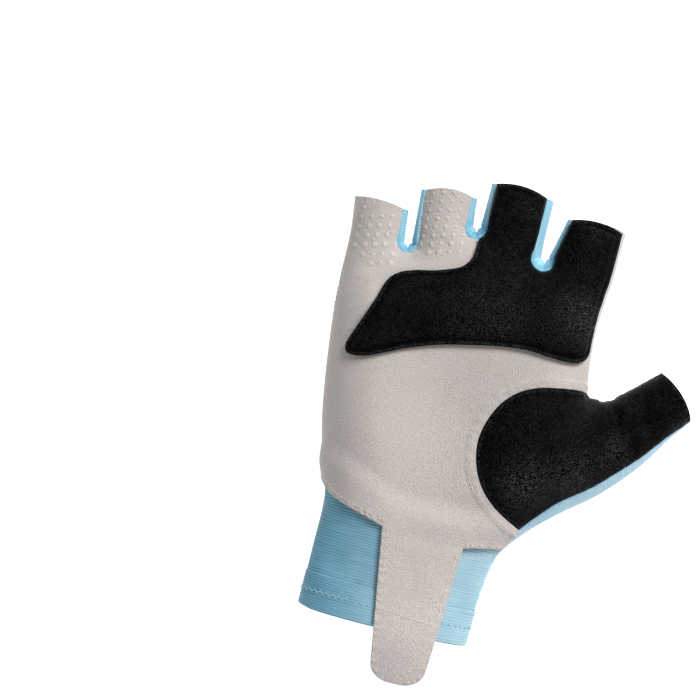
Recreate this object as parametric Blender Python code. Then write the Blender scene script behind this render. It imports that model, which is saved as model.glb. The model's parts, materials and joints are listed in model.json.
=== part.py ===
# Fingerless fishing glove for the right hand, lying on its back with the palm up.
#
# The glove is drawn as a flat pattern: a closed outline seen from above, made of named side edges.
# Every cloth panel is an area of that pattern. Points inside the outline lie on the panel's own
# side of the hand, and points outside it fold round the edge to the other side. A section table
# says how high the glove stands at each station and how softly its edges are rounded.
# Units are metres, +Y points to the fingertips, +X to the thumb and +Z out of the palm.

import math
from collections import namedtuple

import bmesh
import bpy
import numpy as np
from mathutils.geometry import delaunay_2d_cdt
from mathutils.kdtree import KDTree

# Lengths along the hand, measured from the middle of the palm
KNUCKLE_Y = 0.0729          # crotch between middle and index finger
HEM_Y = -0.0720             # edge of the wrist opening
WEB_Y = 0.0284              # crotch between index finger and thumb
FINGER_LENGTH = 0.0230      # middle finger's tube, above the knuckle line
FINGER_GAP = 0.0037         # air between two fingers
TIP_ARCH = 0.0016           # how far an opening's edge bows outwards

# Width and depth of the hand
PALM_WIDTH = 0.0992         # across the four fingers at the knuckles
PALM_DEPTH = 0.0280         # from the surface that the glove lies on to the middle of the palm

# Widths of the wrist and the thumb
CUFF_WIDTH = 0.0636
CUFF_SHIFT = -0.0030        # the wrist's middle lies towards the little finger
CUFF_FLARE = 0.0025         # how much wider the cuff is where the thumb's mound starts
WRIST_Y = -0.0407           # where the thumb's mound meets the cuff
WEB_OUT = 0.0029            # the thumb's crotch lies this far outside the index finger's side
THUMB_ANGLE = 46.0          # degrees from +X
THUMB_LENGTH = 0.0260       # from the crotch to the opening
THUMB_WIDTH = 0.0210

# Cloth and pads
WALL = 0.0011               # knit and suede
GAP = 0.0004                # between neighbouring pieces
HEM_HEIGHT = 0.0135
HEM_WALL = 0.0020           # cloth turned up double
HEM_PROUD = 0.0003          # the hem stands out of the panels by this much
PAD_CLEARANCE = 0.0007      # between a pad and the cloth under it
PAD_EDGE = 0.0011           # leather pad's pressed border
PAD_FIELD = 0.0019          # and its padded middle
PAD_BORDER = 0.0024         # width of the border
PULL_WALL = 0.0010          # finger pulls, sewn on the backs of two fingers
PULL_HEIGHT = 0.0090
PULL_DROP = 0.0060          # from the finger's opening to the pull

# Seams, as distances in from the side edge
GUSSET_PALM = 0.0022        # finger gusset's seam on the palm side
GUSSET_BACK = 0.0040        # and on the back of the hand
LITTLE_WRAP = 0.0104        # palm suede folded round the little finger's side, at its widest
WEB_WRAP = 0.0048           # and round the index finger's side
THENAR_WRAP = 0.0045        # back cloth folded round the thumb's outer side
PAD_INDEX = 0.0014          # the leather pad's edge at the index finger's side

# Wrist tab
TAB_LENGTH = 0.0185         # free end, past the hem
TAB_TOP = 0.0300            # width where it leaves the palm
TAB_END = 0.0200            # width at its free end
TAB_SHIFT = 0.0032          # its middle where it leaves the palm
TAB_LEAN = 0.0025           # how far the free end leans towards the thumb
TAB_DROOP = 0.0035
LOWER_SAG = 0.0061          # the suede's lower edge comes down this far towards the tab
LOWER_SLANT = 0.0009        # and lies this much lower on the thumb's side of the tab
TUCK = 0.0030               # cuff cloth under the palm's lower edge
LIFT = 0.0020               # the palm suede stands this high over the cuff,
LIFT_CLEAR = 0.0030         # keeps clear of the tucked edge
LIFT_RAMP = 0.0090          # and comes down in this length

# Sampling of the surfaces
STATION = 0.0043            # along a side edge
LATTICE = 0.0062            # across a panel's middle
FINE = 0.0004               # distance field's points along the edges
CLOSEST = 0.0019            # least distance between two points of a panel
ROWS = [STATION * share for share in (0.0, 0.093, 0.326, 0.721, 1.256, 1.907)]

# Fingers from the little one to the index: width at the knuckle and at the opening, and how far
# the opening leans towards the thumb, as shares of PALM_WIDTH without its gaps; then length as a
# share of FINGER_LENGTH, and slope of the opening
Finger = namedtuple("Finger", "name base_width tip_width lean reach slant")
FINGERS = (
    Finger("little", 0.2247, 0.2281, -0.0114, 0.27, 0.02),
    Finger("ring", 0.2236, 0.2338, -0.0114, 0.69, 0.08),
    Finger("middle", 0.2679, 0.2667, 0.0000, 1.00, -0.04),
    Finger("index", 0.2838, 0.2497, 0.0204, 0.74, -0.04),
)

# Crotches between neighbouring fingers: height above the knuckle line, share of FINGER_LENGTH
Crotch = namedtuple("Crotch", "name rise")
CROTCHES = (
    Crotch("little_ring", -0.29),
    Crotch("ring_middle", 0.22),
    Crotch("middle_index", 0.0),
)

# Sections along the hand. Station: -1 is the hem, 0 the middle of the palm, 1 the knuckle line,
# 2 the middle finger's opening. Heights stand above the surface that the glove lies on, as shares
# of PALM_DEPTH. A shoulder is the width in which the edge rounds over to the palm or to the back,
# as a share of half the palm's width, or of THUMB_WIDTH for the thumb.
Section = namedtuple("Section", "station top edge bottom palm_shoulder back_shoulder")
SECTIONS = (
    Section(-1.00, 1.018, 0.482, 0.011, 0.625, 0.444),
    Section(-0.62, 0.964, 0.457, 0.011, 0.605, 0.403),
    Section(-0.32, 0.971, 0.429, 0.000, 0.524, 0.323),
    Section(0.00, 1.000, 0.411, 0.000, 0.433, 0.262),
    Section(0.55, 0.957, 0.393, 0.000, 0.353, 0.222),
    Section(0.84, 0.804, 0.350, 0.025, 0.252, 0.171),
    Section(1.00, 0.696, 0.332, 0.064, 0.208, 0.145),
    Section(2.00, 0.643, 0.321, 0.064, 0.198, 0.141),
)
THUMB_SECTION = Section(0.0, 0.768, 0.386, 0.064, 0.495, 0.371)

# Soft folds of the worn cloth: middle as shares of half the palm's width and of KNUCKLE_Y,
# direction in degrees from +X, half length and half width as shares of half the palm's width, and
# depth as a share of PALM_DEPTH, which is negative for a ridge
Fold = namedtuple("Fold", "name x y angle length width depth")
FOLDS = (
    Fold("web_outer", 1.381, 0.261, 98, 0.222, 0.052, 0.029),
    Fold("web_middle", 1.250, 0.233, 90, 0.252, 0.056, 0.032),
    Fold("web_inner", 1.109, 0.240, 82, 0.222, 0.060, 0.025),
    Fold("web_ridge", 1.179, 0.274, 86, 0.181, 0.048, -0.018),
    Fold("thumb_root", 1.008, 0.041, 62, 0.343, 0.091, 0.021),
    Fold("index_root", 0.706, 0.878, 150, 0.222, 0.073, 0.025),
    Fold("middle_root", 0.202, 0.988, 176, 0.202, 0.065, 0.021),
    Fold("heel", 0.081, -0.329, 12, 0.343, 0.101, 0.021),
    Fold("ring_root", -0.343, 0.905, 8, 0.181, 0.060, 0.014),
)

# The knuckle line's own bend: place across the hand, -1 to 1, and rise as a share of FINGER_LENGTH
KNUCKLE_BEND = ((-1.05, -0.50), (-0.56, -0.29), (-0.08, 0.18), (0.42, 0.02), (1.05, -0.20))

# Soft mounds of the palm: centre and radii as shares of half the palm's width, and height as a
# share of PALM_DEPTH
Mound = namedtuple("Mound", "name x y radius_x radius_y height")
MOUNDS = (
    Mound("thumb_ball", 0.74, -0.02, 0.36, 0.46, 0.150),
    Mound("little_ball", -0.52, -0.12, 0.30, 0.62, 0.071),
    Mound("hollow", 0.02, 0.22, 0.36, 0.42, -0.100),
)

# Side edges. Flare: share of the little finger's side from the hem to the knuckle, and how far
# the edge has moved out from the cuff's width to the palm's width.
LITTLE_FLARE = ((0.0, 0.0), (0.16, 0.0), (0.30, 0.02), (0.40, 0.31), (0.49, 0.53),
                (0.585, 0.69), (0.69, 0.82), (0.79, 0.92), (0.885, 0.965), (1.0, 0.98))
# Index side from the knuckle down to the thumb's crotch: share of the way, inset
INDEX_INSET = ((0.0, 0.0), (0.18, 0.0008), (0.40, 0.0015), (0.62, 0.0014), (0.80, 0.0006))
# Thumb's inner side: share of THUMB_LENGTH, share of THUMB_WIDTH to the left of its axis
THUMB_INNER = ((-0.035, 0.090), (0.04, -0.060), (0.17, -0.160), (0.39, -0.225), (0.67, -0.250),
               (1.0, -0.280))
# Thumb's outer side: share of the way from the opening to the wrist, and bow as a share of it
THUMB_OUTER = ((0.11, -0.007), (0.277, -0.027), (0.475, -0.022), (0.654, 0.010), (0.79, 0.026),
               (0.917, 0.025))

# Seams along a side edge: share of the edge's length, share of the named width
LITTLE_SEAM = ((0.0, 0.0), (0.31, 0.0), (0.355, 0.38), (0.42, 0.78), (0.51, 0.98), (0.605, 1.0),
               (0.67, 0.68), (0.715, 0.22), (0.74, 0.0), (0.78, 0.0), (0.805, 0.30),
               (0.845, 0.60), (0.91, 0.74), (1.0, 0.67))
WEB_SEAM = ((0.0, 0.60), (0.21, 0.85), (0.38, 1.0), (0.50, 0.60), (0.565, 0.35),
            (0.625, 0.50), (0.69, 0.15), (0.76, 0.28), (1.0, 0.31))
THENAR_SEAM = ((0.0, 0.06), (0.10, 0.40), (0.30, 0.90), (0.45, 1.0), (0.56, 0.75),
               (0.62, 0.60), (0.70, 0.30), (0.80, 0.28), (1.0, 0.28))
PALM_CORNER = 0.31          # share of the little finger's side where the palm suede starts
WEB_CORNER = 0.690          # share of the web's side where the thumb leather starts
HEEL_CORNER = 0.615         # share of the thumb's outer side where it ends
CUFF_CORNER = 0.690         # and where the palm suede ends

# Seam lines inside the pattern, as bows from corner to corner: share of the way, bow
THUMB_SEAM = ((0.01, 0.085), (0.05, 0.19), (0.12, 0.33), (0.21, 0.44), (0.33, 0.51),
              (0.47, 0.537), (0.60, 0.53), (0.72, 0.485), (0.83, 0.405), (0.91, 0.30),
              (0.965, 0.165))
PAD_LEFT = ((0.04, 0.03), (0.30, 0.020), (0.62, 0.0), (0.90, -0.006))
PAD_TOP = ((0.13, -0.027), (0.29, -0.072), (0.44, -0.125), (0.60, -0.168), (0.70, -0.189),
           (0.79, -0.193), (0.87, -0.156), (0.925, -0.084))
PAD_LOW = ((0.08, -0.004), (0.16, 0.012), (0.25, 0.033), (0.37, 0.050), (0.50, 0.054),
           (0.64, 0.052), (0.75, 0.040), (0.85, 0.012), (0.93, -0.006))
PALM_LOW = ((0.30, 0.020), (0.62, 0.022))

Pattern = namedtuple("Pattern", "points inward name")


def curve(rows, at):
    """Smooth curve through a table's rows that never overshoots them."""
    rows = np.asarray(rows, float)
    xs, ys = rows[:, 0], rows[:, 1]
    steps = np.diff(xs)
    slopes = np.diff(ys) / steps
    tangents = np.zeros(len(xs))
    same = slopes[:-1] * slopes[1:] > 0
    both = slopes[:-1] + slopes[1:]
    tangents[1:-1] = np.where(same, 2 * slopes[:-1] * slopes[1:] / np.where(same, both, 1), 0)
    tangents[0], tangents[-1] = slopes[0], slopes[-1]
    at = np.clip(np.asarray(at, float), xs[0], xs[-1])
    i = np.clip(np.searchsorted(xs, at, "right") - 1, 0, len(steps) - 1)
    t = (at - xs[i]) / steps[i]
    rise = (ys[i + 1] - ys[i]) * t * t * (3 - 2 * t)
    bend = steps[i] * t * (1 - t) * (tangents[i] * (1 - t) - tangents[i + 1] * t)
    return ys[i] + rise + bend


def ease(low, high, at):
    """0 below low, 1 above high and smooth between them."""
    t = np.clip((np.asarray(at, float) - low) / (high - low), 0, 1)
    return t * t * (3 - 2 * t)


def spline(points, per=10):
    """Smooth line through a few points of the pattern."""
    p = np.asarray(points, float)
    p = np.vstack([2 * p[0] - p[1], p, 2 * p[-1] - p[-2]])
    t = np.linspace(0, 1, per, endpoint=False)[:, None]
    runs = []
    for a, b, c, d in zip(p[:-3], p[1:-2], p[2:-1], p[3:]):
        runs.append(0.5 * (2 * b + (c - a) * t + (2 * a - 5 * b + 4 * c - d) * t**2
                           + (3 * b - a - 3 * c + d) * t**3))
    return np.vstack([*runs, p[-2:-1]])


def shares(points):
    """Share of a line's length at each of its points, and the length."""
    run = np.concatenate([[0], np.cumsum(np.linalg.norm(np.diff(points, axis=0), axis=1))])
    return run / run[-1], run[-1]


def along(points, at):
    """Points at the given shares of a line's length."""
    s, _ = shares(points)
    return np.column_stack([np.interp(at, s, points[:, k]) for k in (0, 1)])


def evenly(points, step):
    """The line again, with points about a step apart."""
    _, length = shares(points)
    return along(points, np.linspace(0, 1, max(2, round(length / step) + 1)))


def bowed(start, end, rows, per=6):
    """Smooth line between two corners. Rows are shares of the way and bows to its left."""
    start, end = np.asarray(start, float), np.asarray(end, float)
    way = end - start
    left = np.array([-way[1], way[0]])
    middle = [start + way * s + left * bow for s, bow in rows]
    return spline([start, *middle, end], per)


def turned(rows):
    """The rows of a bowed line for walking it from its other end."""
    return [(1 - s, -bow) for s, bow in reversed(rows)]


HALF_PALM = PALM_WIDTH / 2
CLEAR_WIDTH = PALM_WIDTH - FINGER_GAP * (len(FINGERS) - 1)


def finger_places():
    """Left and right edge of each finger at the knuckle."""
    widths = [finger.base_width * CLEAR_WIDTH for finger in FINGERS]
    lefts = [sum(widths[:i]) + FINGER_GAP * i - HALF_PALM for i in range(len(FINGERS))]
    return [(left, left + width) for left, width in zip(lefts, widths)]


PLACES = finger_places()


def tip_corners(i):
    """Left and right corner of a finger's opening."""
    finger, (left, right) = FINGERS[i], PLACES[i]
    middle = (left + right) / 2 + finger.lean * CLEAR_WIDTH
    y = KNUCKLE_Y + FINGER_LENGTH * finger.reach
    half = finger.tip_width * CLEAR_WIDTH / 2
    rise = finger.slant * half
    return np.array([middle - half, y - rise]), np.array([middle + half, y + rise])


def crotch_line(i):
    """The side edge between finger i and the next one: down, round the crotch and up again."""
    y = KNUCKLE_Y + FINGER_LENGTH * CROTCHES[i].rise
    left, right = PLACES[i][1], PLACES[i + 1][0]
    radius = (right - left) / 2
    turn = np.linspace(math.pi, 2 * math.pi, 13)
    arc = np.column_stack([(left + right) / 2 + radius * np.cos(turn),
                           y + radius + radius * np.sin(turn)])
    return np.vstack([tip_corners(i)[1], arc, tip_corners(i + 1)[0]])


def little_side():
    """From the hem up to the little finger's opening."""
    low = CUFF_SHIFT - CUFF_WIDTH / 2
    high = PLACES[0][0]
    base_y = KNUCKLE_Y + FINGER_LENGTH * CROTCHES[0].rise
    rows = [(low + (high - low) * out, HEM_Y + (base_y - HEM_Y) * share)
            for share, out in LITTLE_FLARE]
    return spline([*rows, tip_corners(0)[0]])


def thumb_axes():
    """The thumb's crotch, the direction of its axis and the direction to the left of it."""
    angle = math.radians(THUMB_ANGLE)
    ahead = np.array([math.cos(angle), math.sin(angle)])
    return np.array([HALF_PALM + WEB_OUT, WEB_Y]), ahead, np.array([-ahead[1], ahead[0]])


def thumb_point(length, left):
    web, ahead, side = thumb_axes()
    return web + ahead * THUMB_LENGTH * length + side * THUMB_WIDTH * left


def web_side():
    """From the index finger's opening down to the thumb's crotch and out to its opening."""
    edge = PLACES[-1][1]
    rows = [(edge - inset, KNUCKLE_Y + (WEB_Y - KNUCKLE_Y) * share)
            for share, inset in INDEX_INSET]
    thumb = [thumb_point(s, left) for s, left in THUMB_INNER]
    return spline([tip_corners(3)[1], *rows, *thumb])


def thumb_outer():
    """From the outer corner of the thumb's opening round the thumb's mound to the hem."""
    start = thumb_point(1, THUMB_INNER[-1][1] - 1)
    edge = CUFF_SHIFT + CUFF_WIDTH / 2
    wrist = np.array([edge + CUFF_FLARE, WRIST_Y])
    way = wrist - start
    left = np.array([-way[1], way[0]])
    mound = [start + way * s - left * bow for s, bow in THUMB_OUTER]
    low = (wrist[1] + HEM_Y) / 2
    return spline([start, *mound, wrist, (edge + CUFF_FLARE * 0.25, low), (edge, HEM_Y)])


def side_edge(name, line):
    """A named side edge as evenly spaced points with their normals into the glove."""
    _, length = shares(line)
    fine = along(line, np.linspace(0, 1, max(2, round(length / FINE) + 1)))
    ahead = np.gradient(fine, axis=0)
    ahead /= np.linalg.norm(ahead, axis=1)[:, None]
    return Pattern(fine, np.column_stack([ahead[:, 1], -ahead[:, 0]]), name)


def extended(edge):
    """The edge with straight runs past its openings, so that a finger's end stays a tube."""
    steps = np.arange(FINE, FINGER_LENGTH * 1.3, FINE)[:, None]
    points, inward = edge.points, edge.inward
    first = np.array([-inward[0][1], inward[0][0]])
    last = np.array([-inward[-1][1], inward[-1][0]])
    before = points[0] - steps[::-1] * first
    after = points[-1] + steps * last
    return (np.vstack([before, points, after]),
            np.vstack([np.tile(inward[0], (len(steps), 1)), inward,
                       np.tile(inward[-1], (len(steps), 1))]))


EDGES = {name: side_edge(name, line) for name, line in (
    ("little", little_side()),
    *((crotch.name, crotch_line(i)) for i, crotch in enumerate(CROTCHES)),
    ("web", web_side()),
    ("thumb_outer", thumb_outer()),
)}


def field():
    """All side edges' points and normals, with a tree that finds the nearest one."""
    parts = []
    for edge in EDGES.values():
        parts.append(extended(edge))
    points = np.vstack([p for p, _ in parts])
    inward = np.vstack([n for _, n in parts])
    tree = KDTree(len(points))
    for i, (x, y) in enumerate(points):
        tree.insert((x, y, 0), i)
    tree.balance()
    return points, inward, tree


FIELD_POINTS, FIELD_INWARD, FIELD_TREE = field()


def nearest(points):
    """Nearest side edge's normal at each point, and the signed distance in from the edge."""
    found = np.array([FIELD_TREE.find((x, y, 0))[1] for x, y in points])
    foot, inward = FIELD_POINTS[found], FIELD_INWARD[found]
    ahead = np.column_stack([-inward[:, 1], inward[:, 0]])
    on = np.einsum("ij,ij->i", points - foot, ahead)
    beside_it = np.clip(found + np.where(on > 0, 1, -1), 0, len(FIELD_POINTS) - 1)
    step = FIELD_POINTS[beside_it] - foot
    size = np.linalg.norm(step, axis=1)
    share = np.where(size < 3 * FINE, np.clip(np.abs(on) / np.maximum(size, 1e-9), 0, 1), 0)
    foot = foot + step * share[:, None]
    inward = inward + (FIELD_INWARD[beside_it] - inward) * share[:, None]
    inward /= np.linalg.norm(inward, axis=1)[:, None]
    return inward, np.einsum("ij,ij->i", points - foot, inward)


def section(points):
    """Top, edge and bottom height and both shoulders at each point of the pattern."""
    x, y = points.T
    bend = curve(KNUCKLE_BEND, x / HALF_PALM) * FINGER_LENGTH
    y = y - bend * ease(0.25 * KNUCKLE_Y, 0.85 * KNUCKLE_Y, y)
    station = np.where(y < 0, y / -HEM_Y, y / KNUCKLE_Y)
    station = np.where(y > KNUCKLE_Y, 1 + (y - KNUCKLE_Y) / FINGER_LENGTH, station)
    hand = [curve([(row.station, row[k]) for row in SECTIONS], station) for k in range(1, 6)]
    hand = [h * size for h, size in zip(hand, (*[PALM_DEPTH] * 3, *[HALF_PALM] * 2))]
    thumb = [t * size for t, size in zip(THUMB_SECTION[1:],
                                         (*[PALM_DEPTH] * 3, *[THUMB_WIDTH] * 2))]
    web, ahead, side = thumb_axes()
    forward = (points - web) @ ahead / THUMB_LENGTH
    left = (points - web) @ side / THUMB_WIDTH
    share = ease(-0.75, 0.55, forward) * (1 - ease(0.05, 0.45, left))
    blend = [h + (t - h) * share for h, t in zip(hand, thumb)]
    for mound in MOUNDS:
        far = (((points[:, 0] / HALF_PALM - mound.x) / mound.radius_x)**2
               + ((points[:, 1] / HALF_PALM - mound.y) / mound.radius_y)**2)
        blend[0] = blend[0] + PALM_DEPTH * mound.height * np.exp(-far)
    for fold in FOLDS:
        angle = math.radians(fold.angle)
        away = (points - (fold.x * HALF_PALM, fold.y * KNUCKLE_Y)) / HALF_PALM
        on = (away[:, 0] * math.cos(angle) + away[:, 1] * math.sin(angle)) / fold.length
        off = (away[:, 1] * math.cos(angle) - away[:, 0] * math.sin(angle)) / fold.width
        blend[0] = blend[0] - PALM_DEPTH * fold.depth * np.exp(-on**2 - off**2)
    over = np.clip((HEM_Y - points[:, 1]) / TAB_LENGTH, 0, None)
    blend[0] = blend[0] - TAB_DROOP * over**2
    return blend


def surface(points, inward, depth, height):
    """Points on the palm side where depth is positive and on the back where it is negative.

    Depth is the distance in from the side edge, and height the distance out of the cloth."""
    top, edge, bottom, palm_shoulder, back_shoulder = section(points)
    palm = depth >= 0
    shoulder = np.where(palm, palm_shoulder, back_shoulder)
    rise = np.where(palm, top - edge, edge - bottom)
    cosine = 1 - np.clip(np.abs(depth) / shoulder, 0, 1)
    sine = np.sqrt(1 - cosine**2)
    out, up = rise * cosine, shoulder * sine
    length = np.hypot(out, up)
    sign = np.where(palm, 1, -1)
    z = edge + sign * (rise * sine + up / length * height)
    plan = points - inward * (out / length * height)[:, None]
    return np.column_stack([plan, z])


def panel_surface(points, side, height):
    """The same for points of a flat pattern: side is 1 for the palm and -1 for the back."""
    inward, depth = nearest(points)
    folded = np.where(depth < 0, depth, 0)[:, None]
    return surface(points - 2 * inward * folded, inward, side * depth, height)


def slid(points, inward, depth, shift):
    """Depths moved by a distance along the cloth, towards the palm where it is positive."""
    top, edge, bottom, palm_shoulder, back_shoulder = section(points)
    palm = np.where(depth == 0, shift, depth) > 0
    shoulder = np.where(palm, palm_shoulder, back_shoulder)
    rise = np.where(palm, top - edge, edge - bottom)
    turn = np.arccos(1 - np.clip(np.abs(depth) / shoulder, 0, 1)) * np.where(palm, 1, -1)
    speed = np.hypot(shoulder * np.sin(turn), rise * np.cos(turn))
    turned_by = turn + shift / speed
    moved = shoulder * (1 - np.cos(turned_by)) * np.sign(turned_by)
    return np.where(np.abs(depth) < 0.98 * shoulder, moved, depth + shift)


def run(name, start=0.0, end=1.0, seam=0.0, shift=0.0, side=1):
    """Pattern points along a stretch of a side edge.

    The seam is a depth in from the edge, or a function of the share of its length that gives
    one: positive on the palm and negative on the back. The shift moves it along the cloth."""
    edge = EDGES[name]
    s, length = shares(edge.points)
    stations = np.linspace(0, 1, max(2, round(length / STATION) + 1))
    if name in [crotch.name for crotch in CROTCHES]:
        stations = crotch_stations(edge, s, stations)
    low, high = min(start, end), max(start, end)
    clear = 0.3 * STATION / length
    inner = [t for t in stations if low + clear < t < high - clear]
    at = np.array([low, *inner, high])
    place = along(edge.points, at)
    inward = np.column_stack([np.interp(at, s, edge.inward[:, k]) for k in (0, 1)])
    inward /= np.linalg.norm(inward, axis=1)[:, None]
    depth = seam(at) if callable(seam) else np.full(len(at), seam)
    if shift:
        depth = slid(place, inward, depth, shift)
    points = place + inward * (side * depth)[:, None]
    return points if start <= end else points[::-1]


def crotch_stations(edge, s, stations):
    """Stations with extra points where the edge turns round a crotch."""
    straight = np.linalg.norm(np.diff(edge.inward, axis=0), axis=1)
    turning = s[1:][straight > 1e-3]
    low, high = turning.min(), turning.max()
    keep = [t for t in stations if t < low - 0.03 or t > high + 0.03]
    return np.array(sorted([*keep, *np.linspace(low, high, 11)]))


def rowed(line, step=STATION):
    """The line again, with points where it crosses the rows along the side edges."""
    _, length = shares(line)
    count = max(2, round(length / FINE))
    fine = along(line, np.linspace(0, 1, count + 1))
    _, depth = nearest(fine)
    wanted = set()
    for row in (*ROWS, *(-row for row in ROWS[1:])):
        wanted.update(np.flatnonzero((depth[:-1] - row) * (depth[1:] - row) <= 0))
    places = panel_surface(fine, 1, np.zeros(len(fine)))
    marks = [0]
    for i in sorted(wanted):
        clear = min(np.linalg.norm(places[i] - places[marks[-1]]),
                    np.linalg.norm(places[i] - places[-1]))
        if clear > 0.4 * CLOSEST:
            marks.append(int(i))
    marks.append(count)
    filled_in = [0]
    for low, high in zip(marks, marks[1:]):
        pieces = max(1, math.ceil((high - low) * FINE / (1.25 * step)))
        filled_in += [round(low + (high - low) * k / pieces) for k in range(1, pieces + 1)]
    return fine[filled_in]


def opening(start, end, arch=TIP_ARCH):
    """Inner points of an opening's edge, which bows outwards a little."""
    start, end = np.asarray(start, float), np.asarray(end, float)
    way = end - start
    out = np.array([-way[1], way[0]]) / np.linalg.norm(way)
    at = np.linspace(0, 1, 41)[:, None]
    return rowed(start + way * at + out * (arch * 4 * at * (1 - at)), LATTICE)[1:-1]


def ring(*runs):
    """Runs of points joined into one closed outline, without repeated corners."""
    points = np.vstack([r for r in runs if len(r)])
    apart = np.linalg.norm(points - np.roll(points, 1, axis=0), axis=1) > GAP / 2
    return points[apart]


def inside(points, outline):
    """Which points lie inside a closed outline."""
    a, b = outline, np.roll(outline, -1, axis=0)
    x, y = points[:, 0][:, None], points[:, 1][:, None]
    crosses = (a[:, 1] > y) != (b[:, 1] > y)
    rise = np.where(b[:, 1] == a[:, 1], 1e-12, b[:, 1] - a[:, 1])
    at = a[:, 0] + (y - a[:, 1]) * (b[:, 0] - a[:, 0]) / rise
    return (crosses & (x < at)).sum(axis=1) % 2 == 1


def outline_distance(points, outline):
    """Distance of each point from a closed outline."""
    a, b = outline, np.roll(outline, -1, axis=0)
    way = b - a
    t = np.einsum("ijk,jk->ij", points[:, None] - a, way) / np.einsum("ij,ij->i", way, way)
    foot = a + np.clip(t, 0, 1)[..., None] * way
    return np.linalg.norm(points[:, None] - foot, axis=2).min(axis=1)


def inner_points(outline, side, rims=()):
    """Points that fill an outline: rows along the side edges, rims, and a lattice between.

    They keep apart from each other and from the outline as measured on the cloth."""
    candidates = []
    for rim in rims:
        shrunk = evenly(np.vstack([outline, outline[:1]]), STATION)
        candidates.append(inset(shrunk, rim))
    for name in EDGES:
        for row in ROWS:
            candidates.append(run(name, seam=row))
            if row and name in ("little", "web", "thumb_outer"):
                candidates.append(run(name, seam=-row))
    low, high = outline.min(axis=0), outline.max(axis=0)
    rows = np.arange(low[1], high[1], LATTICE * math.sqrt(0.75))
    lattice = np.array([(x + (i % 2) * LATTICE / 2, y) for i, y in enumerate(rows)
                        for x in np.arange(low[0], high[0], LATTICE)])
    _, depth = nearest(lattice)
    candidates.append(lattice[np.abs(depth) > ROWS[-1] + 0.4 * LATTICE])
    points = np.vstack(candidates)
    points = points[inside(points, outline)]
    places = panel_surface(points, side, np.zeros(len(points)))
    rim = panel_surface(outline, side, np.zeros(len(outline)))
    clear = outline_distance(places, rim) > 0.6 * CLOSEST
    kept, taken = [], np.empty((0, 3))
    for point, place in zip(points[clear], places[clear]):
        if not kept or np.linalg.norm(taken - place, axis=1).min() > CLOSEST:
            kept.append(point)
            taken = np.vstack([taken, place])
    return np.array(kept)


def inset(points, distance):
    """A closed outline's points moved inwards."""
    ahead = np.roll(points, -1, axis=0) - np.roll(points, 1, axis=0)
    ahead /= np.maximum(np.linalg.norm(ahead, axis=1), 1e-9)[:, None]
    area = np.sum(points[:, 0] * np.roll(points[:, 1], -1) - np.roll(points[:, 0], -1) * points[:, 1])
    side = np.column_stack([-ahead[:, 1], ahead[:, 0]]) * (1 if area > 0 else -1)
    return points + side * distance


def filled(outline, side, rims=()):
    """Points and triangles of a flat pattern piece."""
    points = np.vstack([outline, inner_points(outline, side, rims)])
    edges = [(i, (i + 1) % len(outline)) for i in range(len(outline))]
    made = delaunay_2d_cdt([tuple(p) for p in points], edges, [], 1, 1e-7)
    return np.array([tuple(p) for p in made[0]]), [tuple(face) for face in made[2]]


def closed_solid(outer, inner, faces):
    """Mesh between an outer and an inner sheet that share their faces, with walls round the rim."""
    sides = {}
    for face in faces:
        for a, b in zip(face, (*face[1:], face[0])):
            sides[(a, b)] = True
    count = len(outer)
    rim = [(a, b) for a, b in sides if (b, a) not in sides]
    shell = [tuple(face) for face in faces]
    shell += [tuple(i + count for i in reversed(face)) for face in faces]
    shell += [(b, a, a + count, b + count) for a, b in rim]
    return np.vstack([outer, inner]), shell


def node(name, points, faces, finish):
    """A named object from points and faces, with its normals outwards."""
    mesh = bpy.data.meshes.new(name)
    mesh.from_pydata([tuple(p) for p in points], [], faces)
    form = bmesh.new()
    form.from_mesh(mesh)
    bmesh.ops.recalc_face_normals(form, faces=form.faces)
    bmesh.ops.triangulate(form, faces=form.faces)
    form.to_mesh(mesh)
    form.free()
    mesh.shade_smooth()
    mesh.set_sharp_from_angle(angle=math.radians(40))
    mesh.materials.append(finish)
    made = bpy.data.objects.new(name, mesh)
    bpy.context.scene.collection.objects.link(made)
    return made


def panel(name, outline, side, low, high, finish, rims=()):
    """A pattern piece as a solid between two heights above the cloth's outer face."""
    points, faces = filled(outline, side, rims)
    under = low(points) if callable(low) else np.full(len(points), low)
    over = high(points) if callable(high) else np.full(len(points), high)
    outer = panel_surface(points, side, over)
    inner = panel_surface(points, side, under)
    return node(name, *closed_solid(outer, inner, faces), finish)


def material(name, colour, roughness):
    finish = bpy.data.materials.new(name)
    finish.use_nodes = True
    shader = finish.node_tree.nodes["Principled BSDF"]
    shader.inputs["Base Color"].default_value = (*colour, 1)
    shader.inputs["Roughness"].default_value = roughness
    finish.diffuse_color = (*colour, 1)
    return finish


def little_seam(at):
    return -curve(LITTLE_SEAM, at) * LITTLE_WRAP


def web_seam(at):
    return -curve(WEB_SEAM, at) * WEB_WRAP


def thenar_seam(at):
    return curve(THENAR_SEAM, at) * THENAR_WRAP


def beside(name, share, way):
    """Share of a side edge's length half a gap before or after a corner."""
    _, length = shares(EDGES[name].points)
    return share + way * GAP / 2 / length


def share_at_height(name, y):
    """Share of a side edge's length where it crosses a height, counted from the hem's end."""
    s, _ = shares(EDGES[name].points)
    heights = EDGES[name].points[:, 1]
    ends = heights < 0
    order = np.argsort(heights[ends])
    return float(np.interp(y, heights[ends][order], s[ends][order]))


def thumb_seam_line(shift):
    """Seam between palm suede and thumb leather, from the thumb's crotch to the heel."""
    start = run("web", 0, WEB_CORNER, web_seam)[-1]
    end = run("thumb_outer", 0, HEEL_CORNER, thenar_seam)[-1]
    line = rowed(bowed(start, end, [(s, -bow) for s, bow in THUMB_SEAM]))
    ahead = np.gradient(line, axis=0)
    ahead /= np.linalg.norm(ahead, axis=1)[:, None]
    return line + np.column_stack([-ahead[:, 1], ahead[:, 0]]) * shift


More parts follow.
